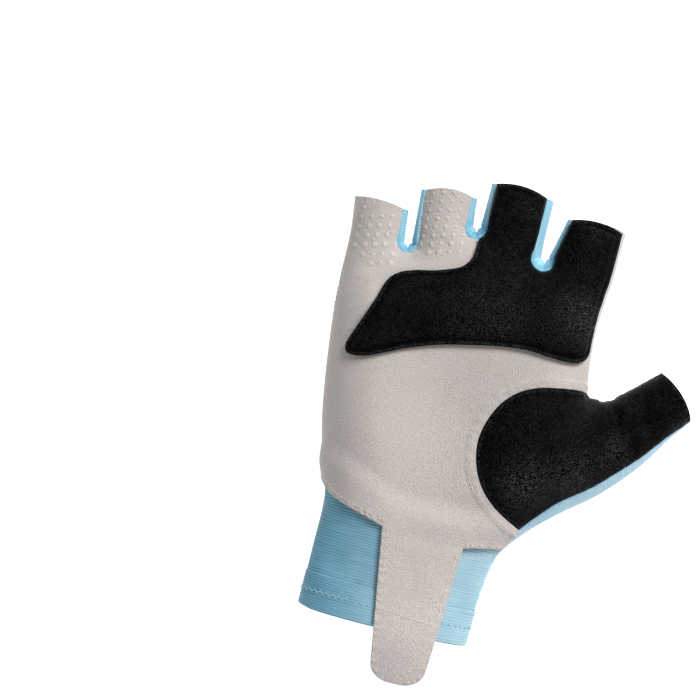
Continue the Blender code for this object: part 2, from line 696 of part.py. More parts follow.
def palm_corners():
    """Corners of the palm suede's lower edge: at the side, and on each side of the tab."""
    side = run("little", 0, PALM_CORNER)[-1]
    heel = run("thumb_outer", 0, CUFF_CORNER, thenar_seam)[-1]
    low = (side[1] + heel[1]) / 2 - LOWER_SAG
    left = np.array([TAB_SHIFT - TAB_TOP / 2, low])
    right = np.array([TAB_SHIFT + TAB_TOP / 2, low - LOWER_SLANT])
    return side, left, right, heel


def lower_edge(shift):
    """The palm suede's lower edge without its tab, moved up the hand by a shift."""
    side, left, right, heel = palm_corners()
    line = np.vstack([bowed(side, left, PALM_LOW), bowed(right, heel, PALM_LOW)])
    return line + (0, shift)


def tab_outline():
    """The tab from its right corner round the free end to its left corner."""
    _, left, right, _ = palm_corners()
    foot = HEM_Y - TAB_LENGTH
    middle = TAB_SHIFT + TAB_LEAN
    round_x, round_y = TAB_END * 0.40, TAB_END * 0.34
    turn = np.linspace(0, -math.pi / 2, 5)
    half = TAB_END / 2
    right_arc = [(middle + half - round_x + round_x * math.cos(a),
                  foot + round_y + round_y * math.sin(a)) for a in turn]
    left_arc = [(2 * middle - x, y) for x, y in reversed(right_arc)]
    down = evenly(np.array([right, right_arc[0]]), STATION)
    up = evenly(np.array([left_arc[-1], left]), STATION)
    return np.vstack([down[:-1], right_arc, left_arc, up[1:]])


def lift(points):
    """How far the palm suede is raised where it lies over the cuff cloth."""
    line = lower_edge(0)
    order = np.argsort(line[:, 0])
    edge = np.interp(points[:, 0], line[order, 0], line[order, 1])
    clear = TUCK + LIFT_CLEAR
    return LIFT * (1 - ease(clear, clear + LIFT_RAMP, points[:, 1] - edge))


def finger_opening(left_run, right_run):
    return opening(left_run[-1], right_run[0])


def palm_panel(finish):
    """Palm suede: palm, finger fronts, both folded sides and the wrist tab."""
    half = GAP / 2
    side = run("little", PALM_CORNER, 1, little_seam, half)
    webs = [run(crotch.name, seam=GUSSET_PALM, shift=half) for crotch in CROTCHES]
    index = run("web", 0, beside("web", WEB_CORNER, -1), web_seam, half)
    heel = run("thumb_outer", beside("thumb_outer", HEEL_CORNER, 1), CUFF_CORNER,
               thenar_seam, half)
    corners = palm_corners()
    low_right = rowed(bowed(corners[3], corners[2], turned(PALM_LOW)))
    low_left = rowed(bowed(corners[1], corners[0], turned(PALM_LOW)))
    outline = ring(
        side, finger_opening(side, webs[0]), webs[0], finger_opening(webs[0], webs[1]),
        webs[1], finger_opening(webs[1], webs[2]), webs[2], finger_opening(webs[2], index),
        index, thumb_seam_line(-half)[1:-1], heel, low_right[1:], tab_outline()[1:],
        low_left[1:-1])
    return panel("palm_panel", outline, 1, lambda p: lift(p) - WALL, lift, finish)


def back_panel(finish):
    """Back of the hand in knit, with the finger and thumb backs and the thumb's outer side."""
    half = GAP / 2
    low = share_at_height("little", HEM_Y + HEM_HEIGHT + GAP)
    foot = share_at_height("thumb_outer", HEM_Y + HEM_HEIGHT + GAP)
    side = run("little", low, 1, little_seam, -half, -1)
    webs = [run(crotch.name, seam=-GUSSET_BACK, shift=-half, side=-1) for crotch in CROTCHES]
    web = run("web", 0, 1, web_seam, -half, -1)
    outer = run("thumb_outer", 0, foot, thenar_seam, -half, -1)
    outline = ring(
        side, finger_opening(side, webs[0]), webs[0], finger_opening(webs[0], webs[1]),
        webs[1], finger_opening(webs[1], webs[2]), webs[2], finger_opening(webs[2], web), web,
        opening(web[-1], outer[0]), outer,
        opening(outer[-1], side[0], 0))
    return panel("back_panel", outline, -1, -WALL, 0, finish)


def thumb_panel(finish):
    """Leather on the thumb's front, round its inner side and over the thumb's mound."""
    half = GAP / 2
    outer = run("thumb_outer", beside("thumb_outer", HEEL_CORNER, -1), 0, thenar_seam, half)
    inner = run("web", 1, beside("web", WEB_CORNER, 1), web_seam, half)
    seam = thumb_seam_line(half)
    outline = ring(outer, opening(outer[-1], inner[0], -TIP_ARCH), inner, seam[1:-1])
    return panel("thumb_panel", outline, 1, -WALL, 0, finish)


def cuff_panel(finish):
    """Ribbed cloth on the palm side of the wrist, tucked under the palm suede."""
    half = GAP / 2
    top = HEM_Y + HEM_HEIGHT + GAP
    low, foot = share_at_height("little", top), share_at_height("thumb_outer", top)
    edge = lower_edge(TUCK)
    high = share_at_height("little", edge[0][1])
    head = share_at_height("thumb_outer", edge[-1][1])
    side = run("little", low, high, 0.0, half)
    outer = run("thumb_outer", head, foot, thenar_seam, half)
    between = ((edge[:, 0] > side[-1][0] + CLOSEST / 2)
               & (edge[:, 0] < outer[0][0] - CLOSEST / 2))
    cut = rowed(np.vstack([side[-1:], edge[between], outer[:1]]))
    outline = ring(side, cut[1:-1], outer, opening(outer[-1], side[0], 0))
    return panel("cuff_panel", outline, 1, -WALL, 0, finish)


def gusset(crotch, finish):
    """Knit strip down one finger's side, round the crotch and up the next finger's side."""
    edge = EDGES[crotch.name]
    s, _ = shares(edge.points)
    place = run(crotch.name)
    at = np.array([s[np.linalg.norm(edge.points - p, axis=1).argmin()] for p in place])
    inward = np.column_stack([np.interp(at, s, edge.inward[:, k]) for k in (0, 1)])
    inward /= np.linalg.norm(inward, axis=1)[:, None]
    count = len(place)
    palm = slid(place, inward, np.full(count, GUSSET_PALM), -GAP / 2)
    back = slid(place, inward, np.full(count, -GUSSET_BACK), GAP / 2)
    rows = (GUSSET_PALM * 0.41, GUSSET_PALM * 0.045, -GUSSET_BACK * 0.175, -GUSSET_BACK * 0.5)
    depths = [palm, *(np.full(count, row) for row in rows), back]
    sheets = []
    for height in (0.0, -WALL):
        rows = [surface(place + inward * np.abs(depth)[:, None], inward, depth, height)
                for depth in depths]
        sheets.append(np.stack(rows, axis=1).reshape(-1, 3))
    n = len(depths)
    faces = [(i * n + j, i * n + j + 1, (i + 1) * n + j + 1, (i + 1) * n + j)
             for i in range(len(place) - 1) for j in range(n - 1)]
    return node(f"gusset_{crotch.name}", *closed_solid(*sheets, faces), finish)


def cuff_hem(finish):
    """Cloth turned up double round the wrist opening."""
    stations = np.linspace(HEM_Y, HEM_Y + HEM_HEIGHT, 4)
    turn = np.linspace(0, math.pi, 21)
    rings = []
    for y in stations:
        left = along(EDGES["little"].points, share_at_height("little", y))[0]
        right = along(EDGES["thumb_outer"].points, share_at_height("thumb_outer", y))[0]
        middle, half = (left[0] + right[0]) / 2, (right[0] - left[0]) / 2
        rings.append(np.column_stack([middle - half * np.cos(turn), np.full(len(turn), y)]))
    sheets = []
    for height in (HEM_PROUD, HEM_PROUD - HEM_WALL):
        loops = []
        for points in rings:
            inward, depth = nearest(points)
            depth = np.maximum(depth, 0)
            palm = surface(points, inward, depth, height)
            back = surface(points, inward, -np.maximum(depth, 1e-7), height)
            loops.append(np.vstack([palm, back[-2:0:-1]]))
        sheets.append(np.vstack(loops))
    n = len(loops[0])
    faces = [(i * n + j, i * n + (j + 1) % n, (i + 1) * n + (j + 1) % n, (i + 1) * n + j)
             for i in range(len(stations) - 1) for j in range(n)]
    return node("cuff_hem", *closed_solid(*sheets, faces), finish)


def pad_corners():
    """Corners of the leather pad: outer end, its upper corner and the lower corner by the index."""
    return (np.array([-0.812 * HALF_PALM, 0.300 * KNUCKLE_Y]),
            np.array([-0.640 * HALF_PALM, 0.745 * KNUCKLE_Y]),
            np.array([0.965 * HALF_PALM, 0.560 * KNUCKLE_Y]))


def palm_pad(finish):
    """Leather pad over the upper palm and the fronts of the middle and index fingers."""
    low, high, right = pad_corners()
    seam = GUSSET_PALM + GAP + PAD_CLEARANCE
    web_left = run("ring_middle", seam=seam)
    middle = len(web_left) // 2
    web_right = run("middle_index", seam=seam)
    index = run("web", 0, share_of_index(right[1]), PAD_INDEX)
    lower = rowed(bowed(index[-1], low, turned(PAD_LOW)))
    left = rowed(bowed(low, high, PAD_LEFT))
    top = rowed(bowed(high, web_left[middle], PAD_TOP))
    outline = ring(
        left, top[1:-1], web_left[middle:], finger_opening(web_left, web_right), web_right,
        finger_opening(web_right, index), index, lower[1:-1])
    outline = rounded(outline, 3)

    def top_height(points):
        far = outline_distance(points, outline)
        puff = ease(PAD_BORDER * 0.9, PAD_BORDER * 1.5, far)
        return PAD_CLEARANCE + PAD_EDGE + (PAD_FIELD - PAD_EDGE) * puff

    return panel("palm_pad", outline, 1, PAD_CLEARANCE, top_height, finish,
                 (PAD_BORDER * 0.9, PAD_BORDER * 1.8))


def share_of_index(y):
    """Share of the index finger's side edge at a height."""
    s, _ = shares(EDGES["web"].points)
    heights = EDGES["web"].points[:, 1]
    down = s < WEB_CORNER
    return float(np.interp(-y, -heights[down], s[down]))


def rounded(outline, turns):
    """A closed outline with its corners softened."""
    for _ in range(turns):
        before, after = np.roll(outline, 1, axis=0), np.roll(outline, -1, axis=0)
        sharp = bend_at(outline) > math.radians(50)
        keep = np.abs(outline[:, 1]) > KNUCKLE_Y * 0.95
        moved = 0.5 * outline + 0.25 * (before + after)
        outline = np.where((sharp & ~keep)[:, None], moved, outline)
    return outline


def bend_at(outline):
    """Angle by which a closed outline turns at each point."""
    a = outline - np.roll(outline, 1, axis=0)
    b = np.roll(outline, -1, axis=0) - outline
    cross = a[:, 0] * b[:, 1] - a[:, 1] * b[:, 0]
    return np.abs(np.arctan2(cross, np.einsum("ij,ij->i", a, b)))


def finger_pull(i, finish):
    """Suede band across the back of a finger, sewn to the gussets on both sides."""
    seam = GUSSET_BACK + GAP + PAD_CLEARANCE
    left_line = run(CROTCHES[i - 1].name, seam=seam)
    right_line = run(CROTCHES[i].name, seam=seam)
    left_top, right_top = left_line[-1], right_line[0]
    down = np.array([0, -1.0])
    corners = [left_top + down * PULL_DROP, right_top + down * PULL_DROP,
               right_top + down * (PULL_DROP + PULL_HEIGHT),
               left_top + down * (PULL_DROP + PULL_HEIGHT)]
    sides = [rowed(np.array([a, b]))[:-1]
             for a, b in zip(corners, [*corners[1:], corners[0]])]
    return panel(f"finger_pull_{FINGERS[i].name}", ring(*sides), -1, PAD_CLEARANCE,
                 PAD_CLEARANCE + PULL_WALL, finish)


def build():
    for old in list(bpy.data.objects):
        bpy.data.objects.remove(old)
    knit = material("blue_knit", (0.36, 0.62, 0.80), 0.75)
    suede = material("grey_suede", (0.60, 0.57, 0.55), 0.90)
    leather = material("black_leather", (0.02, 0.02, 0.022), 0.45)
    bright = material("gusset_knit", (0.38, 0.72, 0.86), 0.70)
    back_panel(knit)
    palm_panel(suede)
    thumb_panel(leather)
    cuff_panel(knit)
    cuff_hem(knit)
    for crotch in CROTCHES:
        gusset(crotch, bright)
    palm_pad(leather)
    for i in (1, 2):
        finger_pull(i, suede)


build()
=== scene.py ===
# %% [markdown]
# # A fingerless fishing glove
#
# The real glove is sewn from flat pieces: a light blue knit back, a grey suede palm with a tab to
# pull it on by, black leather over the thumb and the upper palm, and bright blue knit strips
# between the fingers. It lies on its back with the palm up. One could sculpt it as a lump, or drape
# flat cloth over a hand by simulation. Here each piece is cut as a flat pattern and laid on one
# described surface, because the seams then meet exactly and each piece keeps its own cloth.

import json
import math
from collections import namedtuple

import bpy
import numpy as np
from mathutils.geometry import delaunay_2d_cdt
from mathutils.kdtree import KDTree
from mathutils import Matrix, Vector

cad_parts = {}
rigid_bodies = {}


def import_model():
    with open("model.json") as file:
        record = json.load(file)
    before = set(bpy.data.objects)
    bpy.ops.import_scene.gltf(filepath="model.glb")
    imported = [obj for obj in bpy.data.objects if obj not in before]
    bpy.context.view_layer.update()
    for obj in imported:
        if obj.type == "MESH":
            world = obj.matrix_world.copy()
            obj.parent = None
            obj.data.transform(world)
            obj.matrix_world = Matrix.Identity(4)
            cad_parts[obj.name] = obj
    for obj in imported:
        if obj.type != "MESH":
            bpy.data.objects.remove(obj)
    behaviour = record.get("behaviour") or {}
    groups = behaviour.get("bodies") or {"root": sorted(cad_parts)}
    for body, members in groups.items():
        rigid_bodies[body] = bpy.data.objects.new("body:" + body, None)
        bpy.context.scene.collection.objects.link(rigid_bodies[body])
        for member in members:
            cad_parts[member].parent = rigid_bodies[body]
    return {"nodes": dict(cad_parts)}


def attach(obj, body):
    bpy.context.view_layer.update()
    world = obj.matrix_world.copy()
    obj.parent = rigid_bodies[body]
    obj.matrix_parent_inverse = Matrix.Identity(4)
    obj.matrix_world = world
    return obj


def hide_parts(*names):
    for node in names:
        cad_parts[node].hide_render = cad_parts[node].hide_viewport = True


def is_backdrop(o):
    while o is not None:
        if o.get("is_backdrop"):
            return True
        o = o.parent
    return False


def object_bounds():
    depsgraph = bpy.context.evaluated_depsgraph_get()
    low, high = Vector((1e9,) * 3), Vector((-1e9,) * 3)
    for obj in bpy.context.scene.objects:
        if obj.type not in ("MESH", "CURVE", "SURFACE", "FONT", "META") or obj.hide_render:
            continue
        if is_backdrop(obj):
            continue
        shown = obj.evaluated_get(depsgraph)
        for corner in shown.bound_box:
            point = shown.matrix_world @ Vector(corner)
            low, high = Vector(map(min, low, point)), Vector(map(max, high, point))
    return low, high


for old in list(bpy.data.objects):
    bpy.data.objects.remove(old)
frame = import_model()
CAD_BOX = [[float(v) for v in corner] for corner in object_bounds()]
print("CAD nodes:", ", ".join(sorted(frame["nodes"])))

# %% [markdown]
# ## Sizes
#
# These are the sizes that the CAD model was built from, so that every dressed piece lies where its
# solid lies. They could be measured back from the solids, but a repeated value is exact and says
# what it stands for. Units are metres: +Y points to the fingertips, +X to the thumb, +Z out of the
# palm. Tables hold shares of the named sizes.

# %% Lengths, widths and seams
KNUCKLE_Y = 0.0729          # crotch between middle and index finger
HEM_Y = -0.0720             # edge of the wrist opening
WEB_Y = 0.0284              # crotch between index finger and thumb
FINGER_LENGTH = 0.0230      # middle finger's tube, above the knuckle line
FINGER_GAP = 0.0037         # air between two fingers
TIP_ARCH = 0.0016           # how far an opening's edge bows outwards
PALM_WIDTH = 0.0992         # across the four fingers at the knuckles
PALM_DEPTH = 0.0280         # from the surface it lies on to the middle of the palm
HALF_PALM = PALM_WIDTH / 2
CUFF_WIDTH = 0.0636
CUFF_SHIFT = -0.0030        # the wrist's middle lies towards the little finger
CUFF_FLARE = 0.0025
WRIST_Y = -0.0407           # where the thumb's mound meets the cuff
WEB_OUT = 0.0029            # the thumb's crotch lies this far outside the index finger's side
THUMB_ANGLE = 46.0          # degrees from +X
THUMB_LENGTH = 0.0260
THUMB_WIDTH = 0.0210

WALL = 0.0011               # knit and suede
GAP = 0.0002                # seams are drawn tighter here than between the CAD solids
HEM_HEIGHT = 0.0135
HEM_WALL = 0.0020           # cloth turned up double
HEM_PROUD = 0.0003
PAD_CLEARANCE = 0.0007      # between the pad and the cloth under it
PAD_EDGE = 0.0011           # the pad's pressed border
PAD_FIELD = 0.0019          # and its padded middle
PAD_BORDER = 0.0024
PULL_WALL = 0.0010          # finger pulls on the backs of two fingers
PULL_HEIGHT = 0.0090
PULL_DROP = 0.0060
PULL_STAND = 0.00035        # how far a pull's upper edge stands open

GUSSET_BACK = 0.0040        # seams, as distances in from the side edge
LITTLE_WRAP = 0.0104
WEB_WRAP = 0.0048
THENAR_WRAP = 0.0045
PAD_INDEX = 0.0028

TAB_LENGTH = 0.0185         # wrist tab
TAB_TOP = 0.0300
TAB_END = 0.0200
TAB_ROUND = (0.40, 0.34)    # its rounded end, across and along, as shares of its end's width
TAB_SHIFT = 0.0032
TAB_LEAN = 0.0025
TAB_DROOP = 0.0035
LOWER_SAG = 0.0061
LOWER_SLANT = 0.0009
TUCK = 0.0030               # cuff cloth under the palm's lower edge
LIFT = 0.0020               # the suede stands this high over the cuff
LIFT_SIDE = 0.00125         # and this high where it turns round the side
LIFT_CLEAR = 0.0030
LIFT_RAMP = 0.0090
glove_length = KNUCKLE_Y + FINGER_LENGTH - HEM_Y
print(f"palm {PALM_WIDTH * 1000:.1f} mm wide, glove {glove_length * 1000:.0f} mm long")

# %% Tables of the fingers, the sections and the seams
Finger = namedtuple("Finger", "name base_width tip_width lean reach slant")
FINGERS = (
    Finger("little", 0.2247, 0.2281, -0.0114, 0.27, 0.02),
    Finger("ring", 0.2236, 0.2338, -0.0114, 0.69, 0.08),
    Finger("middle", 0.2679, 0.2667, 0.0000, 1.00, -0.04),
    Finger("index", 0.2838, 0.2497, 0.0204, 0.74, -0.04),
)
Crotch = namedtuple("Crotch", "name rise")
CROTCHES = (Crotch("little_ring", -0.29), Crotch("ring_middle", 0.22), Crotch("middle_index", 0.0))
CROTCH_NAMES = [crotch.name for crotch in CROTCHES]

Section = namedtuple("Section", "station top edge bottom palm_shoulder back_shoulder")
SECTIONS = (
    Section(-1.00, 1.018, 0.482, 0.011, 0.625, 0.444),
    Section(-0.62, 0.964, 0.457, 0.011, 0.605, 0.403),
    Section(-0.32, 0.971, 0.429, 0.000, 0.524, 0.323),
    Section(0.00, 1.000, 0.411, 0.000, 0.433, 0.262),
    Section(0.55, 0.957, 0.393, 0.000, 0.353, 0.222),
    Section(0.84, 0.804, 0.350, 0.025, 0.252, 0.171),
    Section(1.00, 0.696, 0.332, 0.064, 0.208, 0.145),
    Section(2.00, 0.643, 0.321, 0.064, 0.198, 0.141),
)
THUMB_SECTION = Section(0.0, 0.768, 0.386, 0.064, 0.495, 0.371)
KNUCKLE_BEND = ((-1.05, -0.50), (-0.56, -0.29), (-0.08, 0.18), (0.42, 0.02), (1.05, -0.20))

Mound = namedtuple("Mound", "name x y radius_x radius_y height")
MOUNDS = (
    Mound("thumb_ball", 0.74, -0.02, 0.36, 0.46, 0.150),
    Mound("little_ball", -0.52, -0.12, 0.30, 0.62, 0.071),
    Mound("hollow", 0.02, 0.22, 0.36, 0.42, -0.100),
)
Fold = namedtuple("Fold", "name x y angle length width depth")
FOLDS = (
    Fold("web_outer", 1.381, 0.261, 98, 0.222, 0.052, 0.029),
    Fold("web_middle", 1.250, 0.233, 90, 0.252, 0.056, 0.032),
    Fold("web_inner", 1.109, 0.240, 82, 0.222, 0.060, 0.025),
    Fold("web_ridge", 1.179, 0.274, 86, 0.181, 0.048, -0.018),
    Fold("thumb_root", 1.008, 0.041, 62, 0.343, 0.091, 0.021),
    Fold("index_root", 0.706, 0.878, 150, 0.222, 0.073, 0.025),
    Fold("middle_root", 0.202, 0.988, 176, 0.202, 0.065, 0.021),
    Fold("heel", 0.081, -0.329, 12, 0.343, 0.101, 0.021),
    Fold("ring_root", -0.343, 0.905, 8, 0.181, 0.060, 0.014),
)

LITTLE_FLARE = ((0.0, 0.0), (0.16, 0.0), (0.30, 0.02), (0.40, 0.31), (0.49, 0.53),
                (0.585, 0.69), (0.69, 0.82), (0.79, 0.92), (0.885, 0.965), (1.0, 0.98))
INDEX_INSET = ((0.0, 0.0), (0.18, 0.0008), (0.40, 0.0015), (0.62, 0.0014), (0.80, 0.0006))
THUMB_INNER = ((-0.035, 0.090), (0.04, -0.060), (0.17, -0.160), (0.39, -0.225), (0.67, -0.250),
               (1.0, -0.280))
THUMB_OUTER = ((0.11, -0.007), (0.277, -0.027), (0.475, -0.022), (0.654, 0.010), (0.79, 0.026),
               (0.917, 0.025))
LITTLE_SEAM = ((0.0, 0.0), (0.31, 0.0), (0.355, 0.38), (0.42, 0.78), (0.51, 0.98), (0.605, 1.0),
               (0.67, 0.68), (0.715, 0.22), (0.74, 0.0), (0.78, 0.0), (0.805, 0.30),
               (0.845, 0.60), (0.91, 0.74), (1.0, 0.67))
WEB_SEAM = ((0.0, 0.60), (0.21, 0.85), (0.38, 1.0), (0.50, 0.60), (0.565, 0.35),
            (0.625, 0.50), (0.69, 0.15), (0.76, 0.28), (1.0, 0.31))
THENAR_SEAM = ((0.0, 0.06), (0.10, 0.40), (0.30, 0.90), (0.45, 1.0), (0.56, 0.75),
               (0.62, 0.60), (0.70, 0.30), (0.80, 0.28), (1.0, 0.28))
PALM_CORNER, WEB_CORNER, HEEL_CORNER, CUFF_CORNER = 0.31, 0.690, 0.615, 0.690
THUMB_SEAM = ((0.01, 0.085), (0.05, 0.19), (0.12, 0.33), (0.21, 0.44), (0.33, 0.51),
              (0.47, 0.537), (0.60, 0.53), (0.72, 0.485), (0.83, 0.405), (0.91, 0.30),
              (0.965, 0.165))
PAD_LEFT = ((0.04, 0.03), (0.30, 0.020), (0.62, 0.0), (0.90, -0.006))
PAD_TOP = ((0.13, -0.027), (0.29, -0.072), (0.44, -0.125), (0.60, -0.168), (0.70, -0.189),
           (0.79, -0.193), (0.87, -0.156), (0.925, -0.084))
PAD_LOW = ((0.08, -0.004), (0.16, 0.012), (0.25, 0.033), (0.37, 0.050), (0.50, 0.054),
           (0.64, 0.052), (0.75, 0.040), (0.85, 0.012), (0.93, -0.006))
PALM_LOW = ((0.30, 0.020), (0.62, 0.022))
PALM_LEFT_LOW = ((0.10, -0.045), (0.22, -0.078), (0.45, -0.070), (0.75, -0.030))
print(f"{len(FINGERS)} fingers, {len(SECTIONS)} sections, {len(MOUNDS)} mounds, {len(FOLDS)} folds")

# %% [markdown]
# ## Lines of the pattern
#
# A pattern cutter draws a few points and joins them with a curve ruler. These small functions do
# the same on rows of numbers. Blender's curve objects would do as well, but plain arrays are easier
# to measure, to shift sideways and to feed to a surface.

# %% Curves through tables and points
def curve(rows, at):
    """Smooth curve through a table's rows that never overshoots them."""
    rows = np.asarray(rows, float)
    xs, ys = rows[:, 0], rows[:, 1]
    steps = np.diff(xs)
    slopes = np.diff(ys) / steps
    tangents = np.zeros(len(xs))
    same = slopes[:-1] * slopes[1:] > 0
    both = slopes[:-1] + slopes[1:]
    tangents[1:-1] = np.where(same, 2 * slopes[:-1] * slopes[1:] / np.where(same, both, 1), 0)
    tangents[0], tangents[-1] = slopes[0], slopes[-1]
    at = np.clip(np.asarray(at, float), xs[0], xs[-1])
    i = np.clip(np.searchsorted(xs, at, "right") - 1, 0, len(steps) - 1)
    t = (at - xs[i]) / steps[i]
    rise = (ys[i + 1] - ys[i]) * t * t * (3 - 2 * t)
    bend = steps[i] * t * (1 - t) * (tangents[i] * (1 - t) - tangents[i + 1] * t)
    return ys[i] + rise + bend


def ease(low, high, at):
    """0 below low, 1 above high and smooth between them."""
    t = np.clip((np.asarray(at, float) - low) / (high - low), 0, 1)
    return t * t * (3 - 2 * t)


def spline(points, per=14):
    """Smooth line through a few points."""
    p = np.asarray(points, float)
    p = np.vstack([2 * p[0] - p[1], p, 2 * p[-1] - p[-2]])
    t = np.linspace(0, 1, per, endpoint=False)[:, None]
    runs = [0.5 * (2 * b + (c - a) * t + (2 * a - 5 * b + 4 * c - d) * t**2
                   + (3 * b - a - 3 * c + d) * t**3)
            for a, b, c, d in zip(p[:-3], p[1:-2], p[2:-1], p[3:])]
    return np.vstack([*runs, p[-2:-1]])


# %% Measuring along a line
def shares(points):
    """Share of a line's length at each of its points, and the length."""
    run = np.concatenate([[0], np.cumsum(np.linalg.norm(np.diff(points, axis=0), axis=1))])
    return run / run[-1], run[-1]


def along(points, at):
    """Points at the given shares of a line's length."""
    s, _ = shares(points)
    return np.column_stack([np.interp(at, s, points[:, k]) for k in range(points.shape[1])])


def evenly(points, step):
    """The line again, with points about a step apart."""
    _, length = shares(points)
    return along(points, np.linspace(0, 1, max(2, round(length / step) + 1)))


# %% Lines between two corners
def bowed(start, end, rows, per=9):
    """Smooth line between two corners. Rows are shares of the way and bows to its left."""
    start, end = np.asarray(start, float), np.asarray(end, float)
    way = end - start
    left = np.array([-way[1], way[0]])
    return spline([start, *[start + way * s + left * bow for s, bow in rows], end], per)


def turned(rows):
    """The rows of a bowed line for walking it from its other end."""
    return [(1 - s, -bow) for s, bow in reversed(rows)]


def unit(vectors):
    """The vectors at a length of one."""
    return vectors / np.linalg.norm(vectors, axis=1)[:, None]


def leftwards(line):
    """Direction to the left of a line at each of its points."""
    ahead = unit(np.gradient(line, axis=0))
    return np.column_stack([-ahead[:, 1], ahead[:, 0]])


def sideways(line, shift):
    """The line moved to its left by one distance, or by one for each of its points."""
    return line + leftwards(line) * np.reshape(shift, (-1, 1))


# %% Side edges of the fingers, the thumb and the cuff
FINE = 0.0003               # step of the points along the side edges
CLEAR_WIDTH = PALM_WIDTH - FINGER_GAP * (len(FINGERS) - 1)


def finger_places():
    """Left and right edge of each finger at the knuckle."""
    widths = [finger.base_width * CLEAR_WIDTH for finger in FINGERS]
    lefts = [sum(widths[:i]) + FINGER_GAP * i - HALF_PALM for i in range(len(FINGERS))]
    return [(left, left + width) for left, width in zip(lefts, widths)]


PLACES = finger_places()


def tip_corners(i):
    """Left and right corner of a finger's opening."""
    finger, (left, right) = FINGERS[i], PLACES[i]
    middle = (left + right) / 2 + finger.lean * CLEAR_WIDTH
    y = KNUCKLE_Y + FINGER_LENGTH * finger.reach
    half = finger.tip_width * CLEAR_WIDTH / 2
    rise = finger.slant * half
    return np.array([middle - half, y - rise]), np.array([middle + half, y + rise])


def crotch_line(i):
    """The side edge between finger i and the next one: down, round the crotch and up again."""
    y = KNUCKLE_Y + FINGER_LENGTH * CROTCHES[i].rise
    left, right = PLACES[i][1], PLACES[i + 1][0]
    radius = (right - left) / 2
    turn = np.linspace(math.pi, 2 * math.pi, 25)
    arc = np.column_stack([(left + right) / 2 + radius * np.cos(turn),
                           y + radius + radius * np.sin(turn)])
    return np.vstack([tip_corners(i)[1], arc, tip_corners(i + 1)[0]])


def little_side():
    """From the hem up to the little finger's opening."""
    low = CUFF_SHIFT - CUFF_WIDTH / 2
    high = PLACES[0][0]
    base_y = KNUCKLE_Y + FINGER_LENGTH * CROTCHES[0].rise
    rows = [(low + (high - low) * out, HEM_Y + (base_y - HEM_Y) * share)
            for share, out in LITTLE_FLARE]
    return spline([*rows, tip_corners(0)[0]])


# %% Side edges of the thumb
def thumb_axes():
    """The thumb's crotch, the direction of its axis and the direction to the left of it."""
    angle = math.radians(THUMB_ANGLE)
    ahead = np.array([math.cos(angle), math.sin(angle)])
    return np.array([HALF_PALM + WEB_OUT, WEB_Y]), ahead, np.array([-ahead[1], ahead[0]])


def thumb_point(length, left):
    web, ahead, side = thumb_axes()
    return web + ahead * THUMB_LENGTH * length + side * THUMB_WIDTH * left


def web_side():
    """From the index finger's opening down to the thumb's crotch and out to its opening."""
    edge = PLACES[-1][1]
    rows = [(edge - inset, KNUCKLE_Y + (WEB_Y - KNUCKLE_Y) * share)
            for share, inset in INDEX_INSET]
    return spline([tip_corners(3)[1], *rows, *[thumb_point(s, left) for s, left in THUMB_INNER]])


def thumb_outer():
    """From the outer corner of the thumb's opening round the thumb's mound to the hem."""
    start = thumb_point(1, THUMB_INNER[-1][1] - 1)
    edge = CUFF_SHIFT + CUFF_WIDTH / 2
    wrist = np.array([edge + CUFF_FLARE, WRIST_Y])
    way = wrist - start
    left = np.array([-way[1], way[0]])
    mound = [start + way * s - left * bow for s, bow in THUMB_OUTER]
    low = (wrist[1] + HEM_Y) / 2
    return spline([start, *mound, wrist, (edge + CUFF_FLARE * 0.25, low), (edge, HEM_Y)])


# %% All side edges
Edge = namedtuple("Edge", "points inward")


def side_edge(line):
    """A side edge as evenly spaced points with their directions into the glove."""
    fine = evenly(line, FINE)
    return Edge(fine, -leftwards(fine))


EDGES = {"little": side_edge(little_side()),
         **{crotch.name: side_edge(crotch_line(i)) for i, crotch in enumerate(CROTCHES)},
         "web": side_edge(web_side()),
         "thumb_outer": side_edge(thumb_outer())}
for name, edge in EDGES.items():
    print(f"side edge {name}: {shares(edge.points)[1] * 1000:.0f} mm")

# %% [markdown]
# ## The surface that all cloth lies on
#
# A worn glove keeps a hand's form: full at the ball of the thumb, hollow in the middle of the palm,
# round tubes for the fingers. The surface is described by how far a point lies in from the nearest
# side edge, and by a table of heights along the hand. A point of the pattern outside the outline
# folds round the edge to the other side, just as the cloth does. A simulation would also find such
# a form, but not the same one twice, and not the one of the CAD model.

# %% Distance in from the side edges
def nearest_tree(points):
    """A tree that finds the nearest of some points."""
    tree = KDTree(len(points))
    for i, p in enumerate(points):
        tree.insert((*p, 0)[:3], i)
    tree.balance()
    return tree


def extended(edge):
    """The edge with straight runs past its openings, so that a finger's end stays a tube."""
    steps = np.arange(FINE, FINGER_LENGTH * 1.3, FINE)[:, None]
    points, inward = edge
    first = np.array([-inward[0][1], inward[0][0]])
    last = np.array([-inward[-1][1], inward[-1][0]])
    return (np.vstack([points[0] - steps[::-1] * first, points, points[-1] + steps * last]),
            np.vstack([np.tile(inward[0], (len(steps), 1)), inward,
                       np.tile(inward[-1], (len(steps), 1))]))


runs = [extended(edge) for edge in EDGES.values()]
FIELD_POINTS = np.vstack([points for points, _ in runs])
FIELD_INWARD = np.vstack([inward for _, inward in runs])
FIELD_TREE = nearest_tree(FIELD_POINTS)
print(len(FIELD_POINTS), "points on the side edges")


